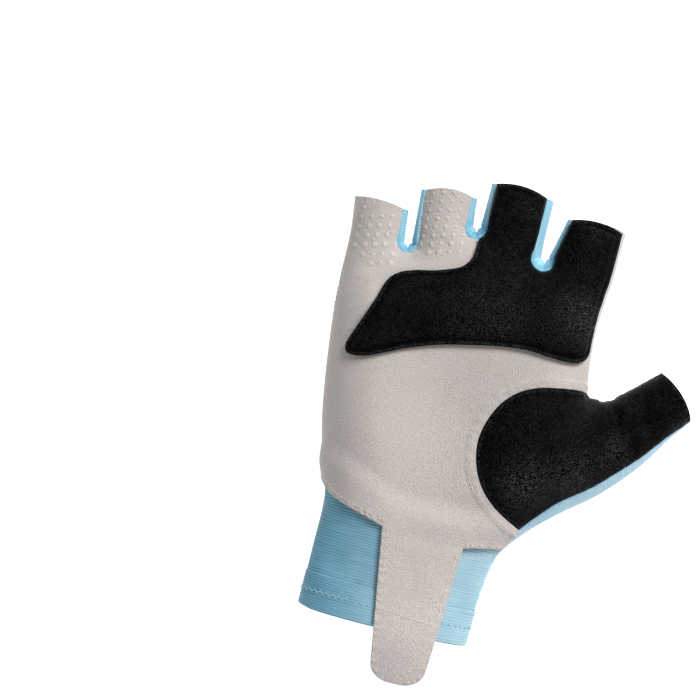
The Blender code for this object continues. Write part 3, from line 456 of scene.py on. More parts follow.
def nearest(points):
    """Nearest side edge's direction inwards at each point, and the distance in from it."""
    found = np.array([FIELD_TREE.find((x, y, 0))[1] for x, y in points])
    foot, inward = FIELD_POINTS[found], FIELD_INWARD[found]
    ahead = np.column_stack([-inward[:, 1], inward[:, 0]])
    on = np.einsum("ij,ij->i", points - foot, ahead)
    beside_it = np.clip(found + np.where(on > 0, 1, -1), 0, len(FIELD_POINTS) - 1)
    step = FIELD_POINTS[beside_it] - foot
    size = np.linalg.norm(step, axis=1)
    share = np.where(size < 3 * FINE, np.clip(np.abs(on) / np.maximum(size, 1e-9), 0, 1), 0)
    foot = foot + step * share[:, None]
    inward = unit(inward + (FIELD_INWARD[beside_it] - inward) * share[:, None])
    return inward, np.einsum("ij,ij->i", points - foot, inward)


# %% Heights of the hand, and places on it
def dents(points, folds):
    """How deep soft folds lie at each point."""
    depth = np.zeros(len(points))
    for fold in folds:
        angle = math.radians(fold.angle)
        away = (points - (fold.x * HALF_PALM, fold.y * KNUCKLE_Y)) / HALF_PALM
        on = (away[:, 0] * math.cos(angle) + away[:, 1] * math.sin(angle)) / fold.length
        off = (away[:, 1] * math.cos(angle) - away[:, 0] * math.sin(angle)) / fold.width
        depth += PALM_DEPTH * fold.depth * np.exp(-on**2 - off**2)
    return depth


def section(points):
    """Top, edge and bottom height and both shoulders at each point of the pattern."""
    x, y = points.T
    bend = curve(KNUCKLE_BEND, x / HALF_PALM) * FINGER_LENGTH
    y = y - bend * ease(0.25 * KNUCKLE_Y, 0.85 * KNUCKLE_Y, y)
    station = np.where(y < 0, y / -HEM_Y, y / KNUCKLE_Y)
    station = np.where(y > KNUCKLE_Y, 1 + (y - KNUCKLE_Y) / FINGER_LENGTH, station)
    deep = [PALM_DEPTH] * 3
    hand = [curve([(row.station, row[k]) for row in SECTIONS], station) * size
            for k, size in enumerate([*deep, HALF_PALM, HALF_PALM], 1)]
    thumb = [t * size for t, size in zip(THUMB_SECTION[1:], [*deep, THUMB_WIDTH, THUMB_WIDTH])]
    web, ahead, side = thumb_axes()
    forward = (points - web) @ ahead / THUMB_LENGTH
    left = (points - web) @ side / THUMB_WIDTH
    share = ease(-0.75, 0.55, forward) * (1 - ease(0.05, 0.45, left))
    blend = [h + (t - h) * share for h, t in zip(hand, thumb)]
    for mound in MOUNDS:
        far = (((points[:, 0] / HALF_PALM - mound.x) / mound.radius_x)**2
               + ((points[:, 1] / HALF_PALM - mound.y) / mound.radius_y)**2)
        blend[0] = blend[0] + PALM_DEPTH * mound.height * np.exp(-far)
    over = np.clip((HEM_Y - points[:, 1]) / TAB_LENGTH, 0, None)
    blend[0] = blend[0] - dents(points, FOLDS) - TAB_DROOP * over**2
    return blend


# %% From the pattern to the hand
def bow(points, palm):
    """Height of the side edge, and how far the cloth bows in and up from it, at each point."""
    top, edge, bottom, palm_shoulder, back_shoulder = section(points)
    return (edge, np.where(palm, palm_shoulder, back_shoulder),
            np.where(palm, top - edge, edge - bottom))


def surface(points, inward, depth, height):
    """Places on the palm side where depth is positive and on the back where it is negative."""
    palm = depth >= 0
    edge, shoulder, rise = bow(points, palm)
    cosine = 1 - np.clip(np.abs(depth) / shoulder, 0, 1)
    sine = np.sqrt(1 - cosine**2)
    out, up = rise * cosine, shoulder * sine
    length = np.hypot(out, up)
    sign = np.where(palm, 1, -1)
    z = edge + sign * (rise * sine + up / length * height)
    return np.column_stack([points - inward * (out / length * height)[:, None], z])


def laid(points, side, height=0.0):
    """Pattern points laid on the hand: side is 1 for the palm and -1 for the back."""
    inward, depth = nearest(points)
    folded = np.where(depth < 0, depth, 0)[:, None]
    return surface(points - 2 * inward * folded, inward, side * depth, height)


def outwards(points, side):
    """Direction out of the cloth at each point."""
    return unit(laid(points, side, 0.001) - laid(points, side))


def slid(points, depth, shift):
    """Depths moved by a distance along the cloth, towards the palm where it is positive."""
    palm = np.where(depth == 0, shift, depth) > 0
    _, shoulder, rise = bow(points, palm)
    turn = np.arccos(1 - np.clip(np.abs(depth) / shoulder, 0, 1)) * np.where(palm, 1, -1)
    speed = np.hypot(shoulder * np.sin(turn), rise * np.cos(turn))
    turned_by = turn + shift / speed
    moved = shoulder * (1 - np.cos(turned_by)) * np.sign(turned_by)
    return np.where(np.abs(depth) < 0.98 * shoulder, moved, depth + shift)


crown = laid(np.array([[0.035, 0.0]]), 1)[0]
print(f"the ball of the thumb stands {crown[2] * 1000:.1f} mm high")

# %% [markdown]
# ## Cutting a cloth piece
#
# A piece is a closed outline of the pattern. It is filled with points: rings that follow its edge,
# rows along the side edges, where the cloth turns round, and a lattice between. Blender's flat
# triangulation joins them, each triangle is cut in four, and every point is laid on the hand. A
# remesh would give even triangles too, but it would blur the edges and lose the pattern's
# coordinates, which the weave needs.

# %% Stretches of the side edges
STATION = 0.0018            # along a side edge
LATTICE = 0.0024            # across a piece's middle
CLOSEST = 0.0010            # least distance between two points of a piece
ROWS = (0.0, 0.0002, 0.0006, 0.0013, 0.0023, 0.0036, 0.0052, 0.0070, 0.0091)
ROUND = 0.00035             # cloth edges are rounded over by this radius
UV_SCALE = 5.0              # UV units in a metre of cloth, so that every piece fits in the map
BEND_POINTS = 21            # points round a crotch's bottom,
BEND_CLEAR = 0.015          # and the share of its edge that stays free before and after them


def on_edge(name, at):
    """Places at shares of a side edge's length, and the directions into the glove."""
    edge = EDGES[name]
    s, _ = shares(edge.points)
    inward = np.column_stack([np.interp(at, s, edge.inward[:, k]) for k in (0, 1)])
    return along(edge.points, at), unit(inward)


def denser(name, at):
    """The shares again, with more of them round a crotch's bottom."""
    edge = EDGES[name]
    s, _ = shares(edge.points)
    bend = np.linalg.norm(np.diff(edge.inward, axis=0), axis=1)
    turning = s[1:][bend > 1e-3]
    first, last = turning.min(), turning.max()
    return np.array(sorted([*at[(at < first - BEND_CLEAR) | (at > last + BEND_CLEAR)],
                            *np.linspace(first, last, BEND_POINTS)]))


def run(name, start=0.0, end=1.0, seam=0.0, shift=0.0, side=1):
    """Pattern points along a stretch of a side edge, in from it by a seam's distance."""
    _, length = shares(EDGES[name].points)
    low, high = min(start, end), max(start, end)
    at = np.linspace(low, high, max(2, round((high - low) * length / STATION) + 1))
    if name in CROTCH_NAMES:
        at = denser(name, at)
    place, inward = on_edge(name, at)
    depth = seam(at) if callable(seam) else np.full(len(at), seam)
    if shift:
        depth = slid(place, depth, shift)
    points = place + inward * (side * depth)[:, None]
    return points if start <= end else points[::-1]


def opening(start, end, arch=TIP_ARCH):
    """Inner points of an opening's edge, which bows outwards a little."""
    way = end - start
    out = np.array([-way[1], way[0]]) / np.linalg.norm(way)
    at = np.linspace(0, 1, 81)[:, None]
    return spread(start + way * at + out * (arch * 4 * at * (1 - at)))[1:-1]


def spread(line, step=STATION, side=1):
    """The line again, with points a step apart as measured on the cloth."""
    fine = evenly(line, FINE / 2)
    places = laid(fine, side)
    s, length = shares(places)
    at = np.linspace(0, 1, max(2, round(length / step) + 1))
    return np.column_stack([np.interp(at, s, fine[:, k]) for k in (0, 1)])


def ring(*runs):
    """Runs of points joined into one closed outline, without repeated corners."""
    points = np.vstack([r for r in runs if len(r)])
    apart = np.linalg.norm(points - np.roll(points, 1, axis=0), axis=1) > 5e-5
    return points[apart]


# %% Filling an outline
def inside(points, outline):
    """Which points lie inside a closed outline."""
    a, b = outline, np.roll(outline, -1, axis=0)
    x, y = points[:, 0][:, None], points[:, 1][:, None]
    crosses = (a[:, 1] > y) != (b[:, 1] > y)
    rise = np.where(b[:, 1] == a[:, 1], 1e-12, b[:, 1] - a[:, 1])
    before = x < a[:, 0] + (y - a[:, 1]) * (b[:, 0] - a[:, 0]) / rise
    return (crosses & before).sum(axis=1) % 2 == 1


def inset(points, distance):
    """A closed outline's points moved inwards."""
    ahead = np.roll(points, -1, axis=0) - np.roll(points, 1, axis=0)
    ahead /= np.maximum(np.linalg.norm(ahead, axis=1), 1e-9)[:, None]
    x, y = points.T
    area = np.sum(x * np.roll(y, -1) - np.roll(x, -1) * y)
    left = np.column_stack([-ahead[:, 1], ahead[:, 0]])
    return points + left * (distance if area > 0 else -distance)


# %% Distances and spacing on the cloth
def line_distance(line, side, closed=False):
    """A function that tells how far places on the hand lie from a line of the pattern, and
    where along the line."""
    if closed:
        line = np.vstack([line, line[:1]])
    samples = laid(evenly(line, FINE / 2), side)
    tree = nearest_tree(samples)
    s, length = shares(samples)

    def far(places):
        found = [tree.find(place) for place in places]
        return np.array([f[2] for f in found]), s[[f[1] for f in found]] * length
    return far


def spaced(places, distances):
    """Which places keep their distance from those before them."""
    size = max(distances)
    cells, kept = {}, []
    around = [(i, j, k) for i in (-1, 0, 1) for j in (-1, 0, 1) for k in (-1, 0, 1)]
    for n, ((x, y, z), least) in enumerate(zip(places.tolist(), distances)):
        cell = (int(x // size), int(y // size), int(z // size))
        if any((x - a)**2 + (y - b)**2 + (z - c)**2 < least**2 for i, j, k in around
               for a, b, c in cells.get((cell[0] + i, cell[1] + j, cell[2] + k), ())):
            continue
        cells.setdefault(cell, []).append((x, y, z))
        kept.append(n)
    return kept


# %% Points and triangles that fill an outline
def filling(outline, side, rims):
    """Points inside an outline: rings along it, rows along the side edges and a lattice."""
    rings = [inset(outline, rim) for rim in rims]
    rows = [run(name, seam=row) for name in EDGES for row in ROWS]
    rows += [run(name, seam=-row) for name in ("little", "web", "thumb_outer") for row in ROWS[1:]]
    low, high = outline.min(axis=0), outline.max(axis=0)
    steps = np.arange(low[1], high[1], LATTICE * math.sqrt(0.75))
    lattice = np.array([(x + (i % 2) * LATTICE / 2, y) for i, y in enumerate(steps)
                        for x in np.arange(low[0], high[0], LATTICE)])
    _, depth = nearest(lattice)
    lattice = lattice[np.abs(depth) > ROWS[-1] + 0.3 * LATTICE]
    points = np.vstack([*rings, *rows, lattice])
    nearness = np.concatenate([*[np.full(len(outline), 0.6 * min(rim, 0.0006)) for rim in rims],
                               np.full(sum(len(r) for r in rows) + len(lattice), CLOSEST)])
    limit = np.concatenate([*[np.full(len(outline), 0.7 * rim) for rim in rims],
                            np.full(len(points) - len(outline) * len(rims), 0.6 * CLOSEST)])
    within = inside(points, outline)
    points, nearness, limit = points[within], nearness[within], limit[within]
    places = laid(points, side)
    far, _ = line_distance(outline, side, closed=True)(places)
    clear = far > limit
    return points[clear][spaced(places[clear], nearness[clear])]


def quartered(points, faces):
    """Each triangle cut in four at the middles of its sides."""
    sides = np.sort(np.vstack([faces[:, [0, 1]], faces[:, [1, 2]], faces[:, [2, 0]]]), axis=1)
    once, place = np.unique(sides, axis=0, return_inverse=True)
    a, b, c = place.reshape(3, -1) + len(points)
    p, q, r = faces.T
    faces = np.vstack([np.column_stack(t) for t in ((p, a, c), (a, q, b), (c, b, r), (a, b, c))])
    return np.vstack([points, points[once].mean(axis=1)]), faces


def filled(outline, side, rims=(0.0003, 0.0009)):
    """Points and small triangles of a flat pattern piece."""
    points = np.vstack([outline, filling(outline, side, rims)])
    edges = [(i, (i + 1) % len(outline)) for i in range(len(outline))]
    made = delaunay_2d_cdt([tuple(p) for p in points], edges, [], 1, 1e-8)
    points = np.array([tuple(p) for p in made[0]])
    return quartered(points, np.array([tuple(face) for face in made[2]]))


# %% From two sheets to a closed piece with its own cloth coordinates
def rounding(edge, radius=ROUND):
    """How far a cloth's face drops towards its edge, as a quarter circle."""
    u = np.clip(1 - edge / radius, 0, 1)
    return radius * (1 - np.sqrt(1 - u**2))


def closed(outer, inner, faces):
    """Faces of a closed shell: outer sheet, inner sheet and a wall along the rim."""
    faces = np.asarray(faces)
    ahead = np.vstack([faces[:, [i, (i + 1) % faces.shape[1]]] for i in range(faces.shape[1])])
    count = len(outer)
    keys, back = ahead[:, 0] * count + ahead[:, 1], ahead[:, 1] * count + ahead[:, 0]
    rim = ahead[~np.isin(keys, back)]
    walls = [(b, a, a + count, b + count) for a, b in rim.tolist()]
    return np.vstack([outer, inner]), [*faces.tolist(), *(faces[:, ::-1] + count).tolist(), *walls]


def volume(points, faces):
    """Volume of a closed mesh, which is positive where its faces point outwards."""
    total = 0.0
    for size in (3, 4):
        f = np.array([face for face in faces if len(face) == size])
        for i in range(1, size - 1) if len(f) else ():
            total += np.einsum("ij,ij->", points[f[:, 0]],
                               np.cross(points[f[:, i]], points[f[:, i + 1]])) / 6
    return total


# %% Objects, stored numbers and grids
def placed(name, data):
    """A new object in the scene."""
    made = bpy.data.objects.new(name, data)
    bpy.context.scene.collection.objects.link(made)
    return made


def store(mesh, name, values, kind="FLOAT"):
    """Keeps a number or a direction for each point of a mesh."""
    layer = mesh.attributes.new(name, kind, "POINT")
    key = "vector" if kind == "FLOAT_VECTOR" else "value"
    layer.data.foreach_set(key, np.asarray(values, np.float32).ravel())


def grid_faces(rows, columns, rings=False):
    """Faces of a grid of points, whose rows may be closed rings."""
    return [(i * columns + j, i * columns + (j + 1) % columns,
             (i + 1) * columns + (j + 1) % columns, (i + 1) * columns + j)
            for i in range(rows - 1) for j in range(columns if rings else columns - 1)]


def piece(name, pattern, outer, inner, faces, finish, edge, **fields):
    """A closed cloth piece with its pattern as UV map. Its points keep their distance from the
    piece's edge, and those of the outer sheet any other numbers."""
    points, shell = closed(outer, inner, faces)
    if volume(points, shell) < 0:
        shell = [face[::-1] for face in shell]
    mesh = bpy.data.meshes.new(name)
    mesh.from_pydata(points.tolist(), [], shell)
    mesh.shade_smooth()
    uv = mesh.uv_layers.new(name="cloth")
    corner = np.zeros(len(mesh.loops), np.int32)
    mesh.loops.foreach_get("vertex_index", corner)
    flat = np.vstack([pattern, pattern])[corner] * UV_SCALE + 0.5
    uv.data.foreach_set("uv", flat.astype(np.float32).ravel())
    store(mesh, "edge", np.tile(edge * 1000, 2))
    for key, values in fields.items():
        store(mesh, key, np.concatenate([values, np.zeros(len(inner))]))
    mesh.materials.append(finish)
    print(f"{name}: {len(mesh.polygons)} faces, {volume(points, shell) * 1e6:.1f} cm3")
    return placed(name, mesh)


# %% A panel cut from an outline
def panel(name, outline, side, finish, low=-WALL, high=None, rims=(0.0003, 0.0009)):
    """A pattern piece between two heights above the hand's surface."""
    points, faces = filled(outline, side, rims)
    places = laid(points, side)
    edge, way = line_distance(outline, side, closed=True)(places)
    over = high(points, edge, way) if high else np.zeros(len(points))
    under = low(points) if callable(low) else np.full(len(points), low)
    outer = laid(points, side, over - rounding(edge))
    inner = laid(points, side, under + rounding(edge, ROUND / 2))
    return piece(name, points, outer, inner, faces, finish, edge)


# %% [markdown]
# ## Building materials from sums
#
# Cloth, suede and leather are all shown by small rules: a wave for the ribs, noise for the nap,
# cells for the grain. Each could be set up by hand in the shader editor. Written as Python sums
# they stay readable, and the same rule serves colour, roughness and bump.

# %% A socket that can be added and multiplied
class Number:
    """A socket that carries one number, for sums written in Python."""

    def __init__(self, nodes, socket):
        self.nodes, self.socket = nodes, socket

    def __add__(self, other):
        return self.nodes.sum("ADD", self, other)

    def __sub__(self, other):
        return self.nodes.sum("SUBTRACT", self, other)

    def __rsub__(self, other):
        return self.nodes.sum("SUBTRACT", other, self)

    def __mul__(self, other):
        return self.nodes.sum("MULTIPLY", self, other)

    def __truediv__(self, other):
        return self.nodes.sum("DIVIDE", self, other)

    def __pow__(self, other):
        return self.nodes.sum("POWER", self, other)

    __radd__, __rmul__ = __add__, __mul__


class Nodes:
    """A node tree under construction."""

    def __init__(self, tree):
        self.tree = tree

    def put(self, socket, value):
        if isinstance(value, Number):
            self.tree.links.new(value.socket, socket)
        else:
            socket.default_value = value

    def node(self, kind, settings, values, out=0):
        """Adds a node: its settings first, then the values or links of its sockets."""
        made = self.tree.nodes.new(kind)
        for name, value in settings.items():
            setattr(made, name, value)
        for name, value in values.items():
            self.put(made.inputs[name], value)
        return Number(self, made.outputs[out])

    def sum(self, operation, *values):
        return self.node("ShaderNodeMath", {"operation": operation}, dict(enumerate(values)))

    def scaled(self, vector, by):
        return self.node("ShaderNodeVectorMath", {"operation": "SCALE"}, {0: vector, "Scale": by})


# %% A material on one shader
class Finish(Nodes):
    """A material on one principled shader."""

    def __init__(self, name, **constants):
        self.made = bpy.data.materials.new(name)
        self.made.use_nodes = True
        super().__init__(self.made.node_tree)
        self.shader = self.tree.nodes["Principled BSDF"]
        for socket, value in constants.items():
            self.shader.inputs[socket.replace("_", " ")].default_value = value

    def cloth(self):
        """Place on the flat pattern in millimetres, as a vector, and its two numbers."""
        mm = self.scaled(self.node("ShaderNodeUVMap", {"uv_map": "cloth"}, {}), 1000.0 / UV_SCALE)
        split = self.node("ShaderNodeSeparateXYZ", {}, {0: mm}).socket.node
        return mm, Number(self, split.outputs[0]), Number(self, split.outputs[1])

    def body(self):
        """Place in the object in millimetres."""
        return self.scaled(self.node("ShaderNodeTexCoord", {}, {}, "Object"), 1000.0)

    def part_of(self, vector, axis):
        """One number of a vector: 0 across the hand, 1 along it, 2 out of the palm."""
        return self.node("ShaderNodeSeparateXYZ", {}, {0: vector}, axis)

    def field(self, name):
        """A number stored on the mesh."""
        return self.node("ShaderNodeAttribute", {"attribute_name": name}, {}, "Fac")

    def noise(self, place, size, detail=2.0, rough=0.5):
        """Soft noise with features of about a size in millimetres."""
        return self.node("ShaderNodeTexNoise", {}, {
            "Vector": place, "Scale": 1 / size, "Detail": detail, "Roughness": rough})

    def steps(self, value, low, high):
        """0 below low, 1 above high and smooth between."""
        return self.node("ShaderNodeMapRange", {"interpolation_type": "SMOOTHSTEP"}, {
            "Value": value, "From Min": low, "From Max": high})

    def mix(self, share, first, second):
        """A colour between two."""
        return self.node("ShaderNodeMix", {"data_type": "RGBA"}, {0: share, 6: first, 7: second}, 2)

    def finish(self, colour, rough=None, height=None, depth=0.0001):
        """Sets what varies over the surface: colour, roughness and a bump in metres."""
        self.put(self.shader.inputs["Base Color"], colour)
        if rough is not None:
            self.put(self.shader.inputs["Roughness"], rough)
        if height is not None:
            bump = self.node("ShaderNodeBump", {}, {"Height": height, "Distance": depth})
            self.put(self.shader.inputs["Normal"], bump)
        return self.made


def rgb(red, green, blue):
    """A screen colour, 0 to 255, as the linear values that shaders work in."""
    return (*[((c / 255 + 0.055) / 1.055)**2.4 if c > 10 else c / 255 / 12.92
              for c in (red, green, blue)], 1.0)


# %% [markdown]
# ## Light blue knit
#
# The back and the cuff are one stretch knit with fine ribs that run across the hand, about one
# millimetre apart and broken into short dashes like bricks. The ribs could be an image, but a sine
# on the pattern's own coordinates follows every turn of the cloth. Painted shade makes the knit
# darker down between its ribs and along its seams, and its colour drifts a little, as dyed cloth
# does.

# %% Knit finishes
RIB_PITCH = 1.05            # millimetres
TURN = 2 * math.pi


def knit(name, light, dark, pitch=RIB_PITCH, dash=2.3, tilt=0.07, contrast=0.5, depth=0.00012):
    """Ribs at a pitch across the hand, broken into dashes. Both are in millimetres."""
    cloth = Finish(name, Roughness=0.78, Sheen_Weight=0.25, Sheen_Roughness=0.4,
                   Specular_IOR_Level=0.25)
    mm, x, y = cloth.cloth()
    drift = cloth.noise(mm, 14.0, 1.0)
    rows = (y + x * tilt + drift * 1.6) * (TURN / pitch)
    rib = cloth.sum("SINE", rows)
    dashes = cloth.sum("SINE", x * (TURN / dash) + drift * 5.0)
    weave = rib * 0.62 + rib * dashes * 0.38
    grain = cloth.noise(mm, 0.45, 2.0)
    patches = cloth.noise(mm, 22.0, 2.0)
    # Painted shade: the colour darkens within 1.3 mm of the edge numbers, along the seams and, on
    # the strips, in their creases and at the crotch. The weave's share of the colour is partly the
    # knit's pattern and partly painted shade down between the ribs.
    seam = cloth.steps(cloth.field("edge"), 0.0, 1.3)
    share = weave * (contrast * 0.5) + grain * 0.35 + patches * 0.7 - 0.05
    share = share * (0.35 + seam * 0.65)
    colour = cloth.mix(cloth.steps(share, 0.0, 1.0), dark, light)
    return cloth.finish(colour, height=weave * 0.5 + grain * 0.35, depth=depth)


BLUE_KNIT = knit("blue_knit", rgb(193, 219, 231), rgb(138, 183, 206))
GUSSET_KNIT = knit("gusset_knit", rgb(172, 208, 220), rgb(102, 168, 194), pitch=0.8, dash=1.1,
                   tilt=0.25, contrast=0.30, depth=0.00006)
print("knit finishes:", BLUE_KNIT.name, GUSSET_KNIT.name)


# %% Knit of the cuff, whose ribs are real
def cuff_knit(name, light, dark, deep, shaded_dark, pitch=RIB_PITCH):
    """Painted shade makes the knit darker towards the little finger's side and between its ribs."""
    cloth = Finish(name, Roughness=0.72, Sheen_Weight=0.25, Sheen_Roughness=0.4,
                   Specular_IOR_Level=0.3)
    mm, x, y = cloth.cloth()
    row = y / pitch
    crest_shade = cloth.sum("ABSOLUTE", cloth.sum("SINE", row * math.pi))
    beads = cloth.sum("SINE", x * (TURN / 0.62) + cloth.sum("FLOOR", row) * 2.1)
    streak = cloth.noise(cloth.node("ShaderNodeVectorMath", {"operation": "MULTIPLY"},
                                    {0: mm, 1: (0.08, 1.0, 1.0)}), 0.9, 1.0)
    patches = cloth.noise(mm, 16.0, 2.0)
    # Painted shade: the colour is lighter on the ribs' crests and darker down between them.
    share = crest_shade * 0.62 + streak * 0.42 + patches * 0.60 + beads * 0.05 - 0.34
    # Painted shade: towards the little finger's side both colours turn to their shaded copies.
    across = cloth.steps(cloth.part_of(cloth.body(), 0), -38.0, 20.0)
    light = cloth.mix(across, deep, light)
    dark = cloth.mix(across, shaded_dark, dark)
    colour = cloth.mix(cloth.steps(share, 0.0, 1.0), dark, light)
    return cloth.finish(colour, height=beads * 0.5 + crest_shade * 0.6, depth=0.00005)


# The last two colours are the shaded copies, painted shade for the little finger's side.
CUFF_KNIT = cuff_knit("cuff_knit", rgb(174, 201, 210), rgb(116, 162, 184), rgb(112, 170, 195),
                      rgb(52, 108, 132))
print("cuff finish:", CUFF_KNIT.name)

# %% [markdown]
# ## Grey suede
#
# The palm is microfibre suede. Its nap catches the light in tiny tufts, so the grey is speckled
# at half a millimetre and drifts between a warm and a cool grey over centimetres. Hair particles
# would be true to it, but far too heavy. Three sizes of noise give the same look, and a fine bump
# gives the nap its shade. Along its edges the suede is painted darker, as painted shade.

# %% Suede finish
def suede(name, light, light_tips, dark, warm):
    """The suede is darker towards the fingertips."""
    cloth = Finish(name, Roughness=0.95, Sheen_Weight=0.35, Sheen_Roughness=0.6,
                   Specular_IOR_Level=0.12)
    place = cloth.body()
    tufts = cloth.noise(place, 0.50, 2.0, 0.6)
    nap = cloth.noise(place, 0.85, 1.0)
    patches = cloth.noise(place, 17.0, 2.0)
    edge = cloth.steps(cloth.field("edge"), 0.0, 0.9)
    light = cloth.mix(cloth.steps(cloth.part_of(place, 1), -90.0, 60.0), light, light_tips)
    share = cloth.steps(tufts * 0.7 + nap * 0.3, 0.15, 0.85)
    colour = cloth.mix(share, dark, light)
    colour = cloth.mix(cloth.steps(patches, 0.40, 0.68) * 0.5, colour, warm)
    # Painted shade: the suede darkens within 0.9 mm of its edge, along the seams.
    colour = cloth.mix((1 - edge) * 0.30, colour, dark)
    return cloth.finish(colour, height=tufts * 0.8 + nap * 0.4, depth=0.00042)


GREY_SUEDE = suede("grey_suede", rgb(213, 205, 200), rgb(186, 180, 175), rgb(159, 152, 148),
                   rgb(184, 173, 171))
print("suede finish:", GREY_SUEDE.name)

# %% [markdown]
# ## Black leather
#
# The thumb and the pad are black synthetic leather with a small pebbled grain. Under soft light it
# is nearly black. Its glints are painted highlights: fine ridges of the grain are painted lighter
# in the colour, faintly everywhere and more in patches, along the edges, and in listed spots of
# painted sheen on the ball of the thumb, at its crotch and on the fingertips. Displaced geometry at
# this size would need millions of faces, so the grain is a bump of rounded cells and wrinkles. The
# painted ridges are the thin lines where a noise crosses its middle value, and a table names the
# spots of painted sheen.

# %% Leather finish
# Spots of painted sheen, where the grain's ridges are painted lighter: middle, reach and strength.
SheenSpot = namedtuple("SheenSpot", "middle reach strength")
SHEEN_SPOTS = (SheenSpot((35.0, -8.0, 28.0), 15.0, 0.80), SheenSpot((50.0, 0.0, 23.0), 15.0, 0.85),
            SheenSpot((63.0, 10.0, 18.0), 12.0, 0.75), SheenSpot((52.0, 25.0, 20.0), 4.0, 0.30),
            SheenSpot((67.0, 26.5, 16.0), 6.0, 0.65), SheenSpot((82.0, 29.0, 14.0), 9.0, 0.55),
            SheenSpot((41.0, 55.0, 22.0), 16.0, 0.55), SheenSpot((38.0, 87.0, 16.0), 8.0, 0.40),
            SheenSpot((12.0, 89.0, 18.0), 7.0, 0.35), SheenSpot((8.0, 47.0, 26.0), 24.0, 0.22))


def leather(name, black, glint_colour):
    """Grained leather with painted highlights on the grain's ridges, more in the spots of painted
    sheen and along the edges. Places and reaches are in millimetres.
    """
    hide = Finish(name, Specular_IOR_Level=0.018)
    place = hide.body()
    cells = hide.node("ShaderNodeTexVoronoi", {"feature": "SMOOTH_F1"}, {
        "Vector": place, "Scale": 1.35, "Smoothness": 0.6, "Randomness": 1.0})
    wrinkle = hide.noise(place, 0.55, 3.0, 0.6)
    patches = hide.noise(place, 9.0, 1.0)
    pebbles = 1 - cells * 1.1
    height = pebbles * 0.55 + wrinkle * 0.8
    # Painted sheen: the listed spots raise the share of the glint colour.
    sheen_share = 0
    for spot in SHEEN_SPOTS:
        far = hide.node("ShaderNodeVectorMath", {"operation": "DISTANCE"},
                        {0: place, 1: spot.middle}, 1)
        sheen_share = (1 - hide.steps(far, 0.0, spot.reach)) * spot.strength + sheen_share
    # Painted highlights: thin ridges of the grain take the glint colour, faintly everywhere, more
    # in the patches, along a band by the edge and in the spots of painted sheen.
    from_middle = hide.sum("ABSOLUTE", hide.noise(place, 0.78, 1.0) - 0.5)
    ridge = 1 - hide.steps(from_middle, 0.0, 0.085)
    edge = hide.field("edge")
    border = hide.steps(edge, 0.1, 0.6) * (1 - hide.steps(edge, 0.9, 1.4))
    share = ridge * (patches * 0.22 + sheen_share * 0.80 + border * 0.25 + 0.01)
    colour = hide.mix(share, black, glint_colour)
    rough = 0.25 - sheen_share * 0.02 + patches * 0.04
    return hide.finish(colour, rough, height, 0.00042)


# The second colour is the painted glint on the grain's ridges.
BLACK_LEATHER = leather("black_leather", rgb(1, 1, 2), rgb(80, 80, 81))
print("leather finish:", BLACK_LEATHER.name)


# %% Threads and silicone
def thread(name, colour, deep, gloss=0.5, sheen=0.2):
    """Spun thread, which is lighter and darker along its twist."""
    cord = Finish(name, Roughness=0.6, Sheen_Weight=sheen, Specular_IOR_Level=gloss)
    twist = cord.noise(cord.body(), 0.35, 1.0)
    return cord.finish(cord.mix(twist, deep, colour))


CREAM_THREAD = thread("cream_thread", rgb(228, 221, 211), rgb(192, 184, 172))
BLUE_THREAD = thread("blue_thread", rgb(168, 208, 222), rgb(124, 176, 198))
DEEP_THREAD = thread("deep_blue_thread", rgb(70, 130, 165), rgb(40, 96, 132))
BLACK_THREAD = thread("black_thread", rgb(9, 9, 10), rgb(3, 3, 4), 0.1, 0.0)


def silicone(name, clear, deep):
    """Clear rubber that lets a little of the suede's grey through."""
    gel = Finish(name, Roughness=0.50, Specular_IOR_Level=0.15,
                 Subsurface_Weight=0.2, Subsurface_Scale=0.0006)
    return gel.finish(gel.mix(gel.noise(gel.body(), 2.0, 1.0), deep, clear))


SILICONE = silicone("silicone", rgb(190, 185, 179), rgb(181, 176, 170))
print("thread and silicone finishes are ready")

# %% [markdown]
# ## Seams that several pieces share
#
# Where two pieces meet, both outlines follow one line, each half a gap to its own side. The lines
# are functions of the share along a side edge, so a seam can wander as it does on the glove: the
# suede patches that fold round to the back have wavy edges.

# %% Seam lines
def little_seam(at):
    return -curve(LITTLE_SEAM, at) * LITTLE_WRAP


def web_seam(at):
    return -curve(WEB_SEAM, at) * WEB_WRAP


def thenar_seam(at):
    return curve(THENAR_SEAM, at) * THENAR_WRAP


HALF_GAP = GAP / 2


def beside(name, share, way):
    """Share of a side edge's length half a gap before or after a corner."""
    return share + way * HALF_GAP / shares(EDGES[name].points)[1]


def share_at_height(name, y):
    """Share of a side edge's length where it crosses a height below the palm's middle."""
    s, _ = shares(EDGES[name].points)
    heights = EDGES[name].points[:, 1]
    ends = heights < 0
    order = np.argsort(heights[ends])
    return float(np.interp(y, heights[ends][order], s[ends][order]))


def share_of_index(y):
    """Share of the index finger's side edge at a height."""
    s, _ = shares(EDGES["web"].points)
    down = s < WEB_CORNER
    return float(np.interp(-y, -EDGES["web"].points[down, 1], s[down]))


# %% Seam by the thumb, the palm's lower edge, and its lift over the cuff
def thumb_seam_line(shift):
    """Seam between palm suede and thumb leather, from the thumb's crotch to the heel."""
    start = run("web", 0, WEB_CORNER, web_seam)[-1]
    end = run("thumb_outer", 0, HEEL_CORNER, thenar_seam)[-1]
    return sideways(spread(bowed(start, end, [(s, -bow) for s, bow in THUMB_SEAM])), shift)


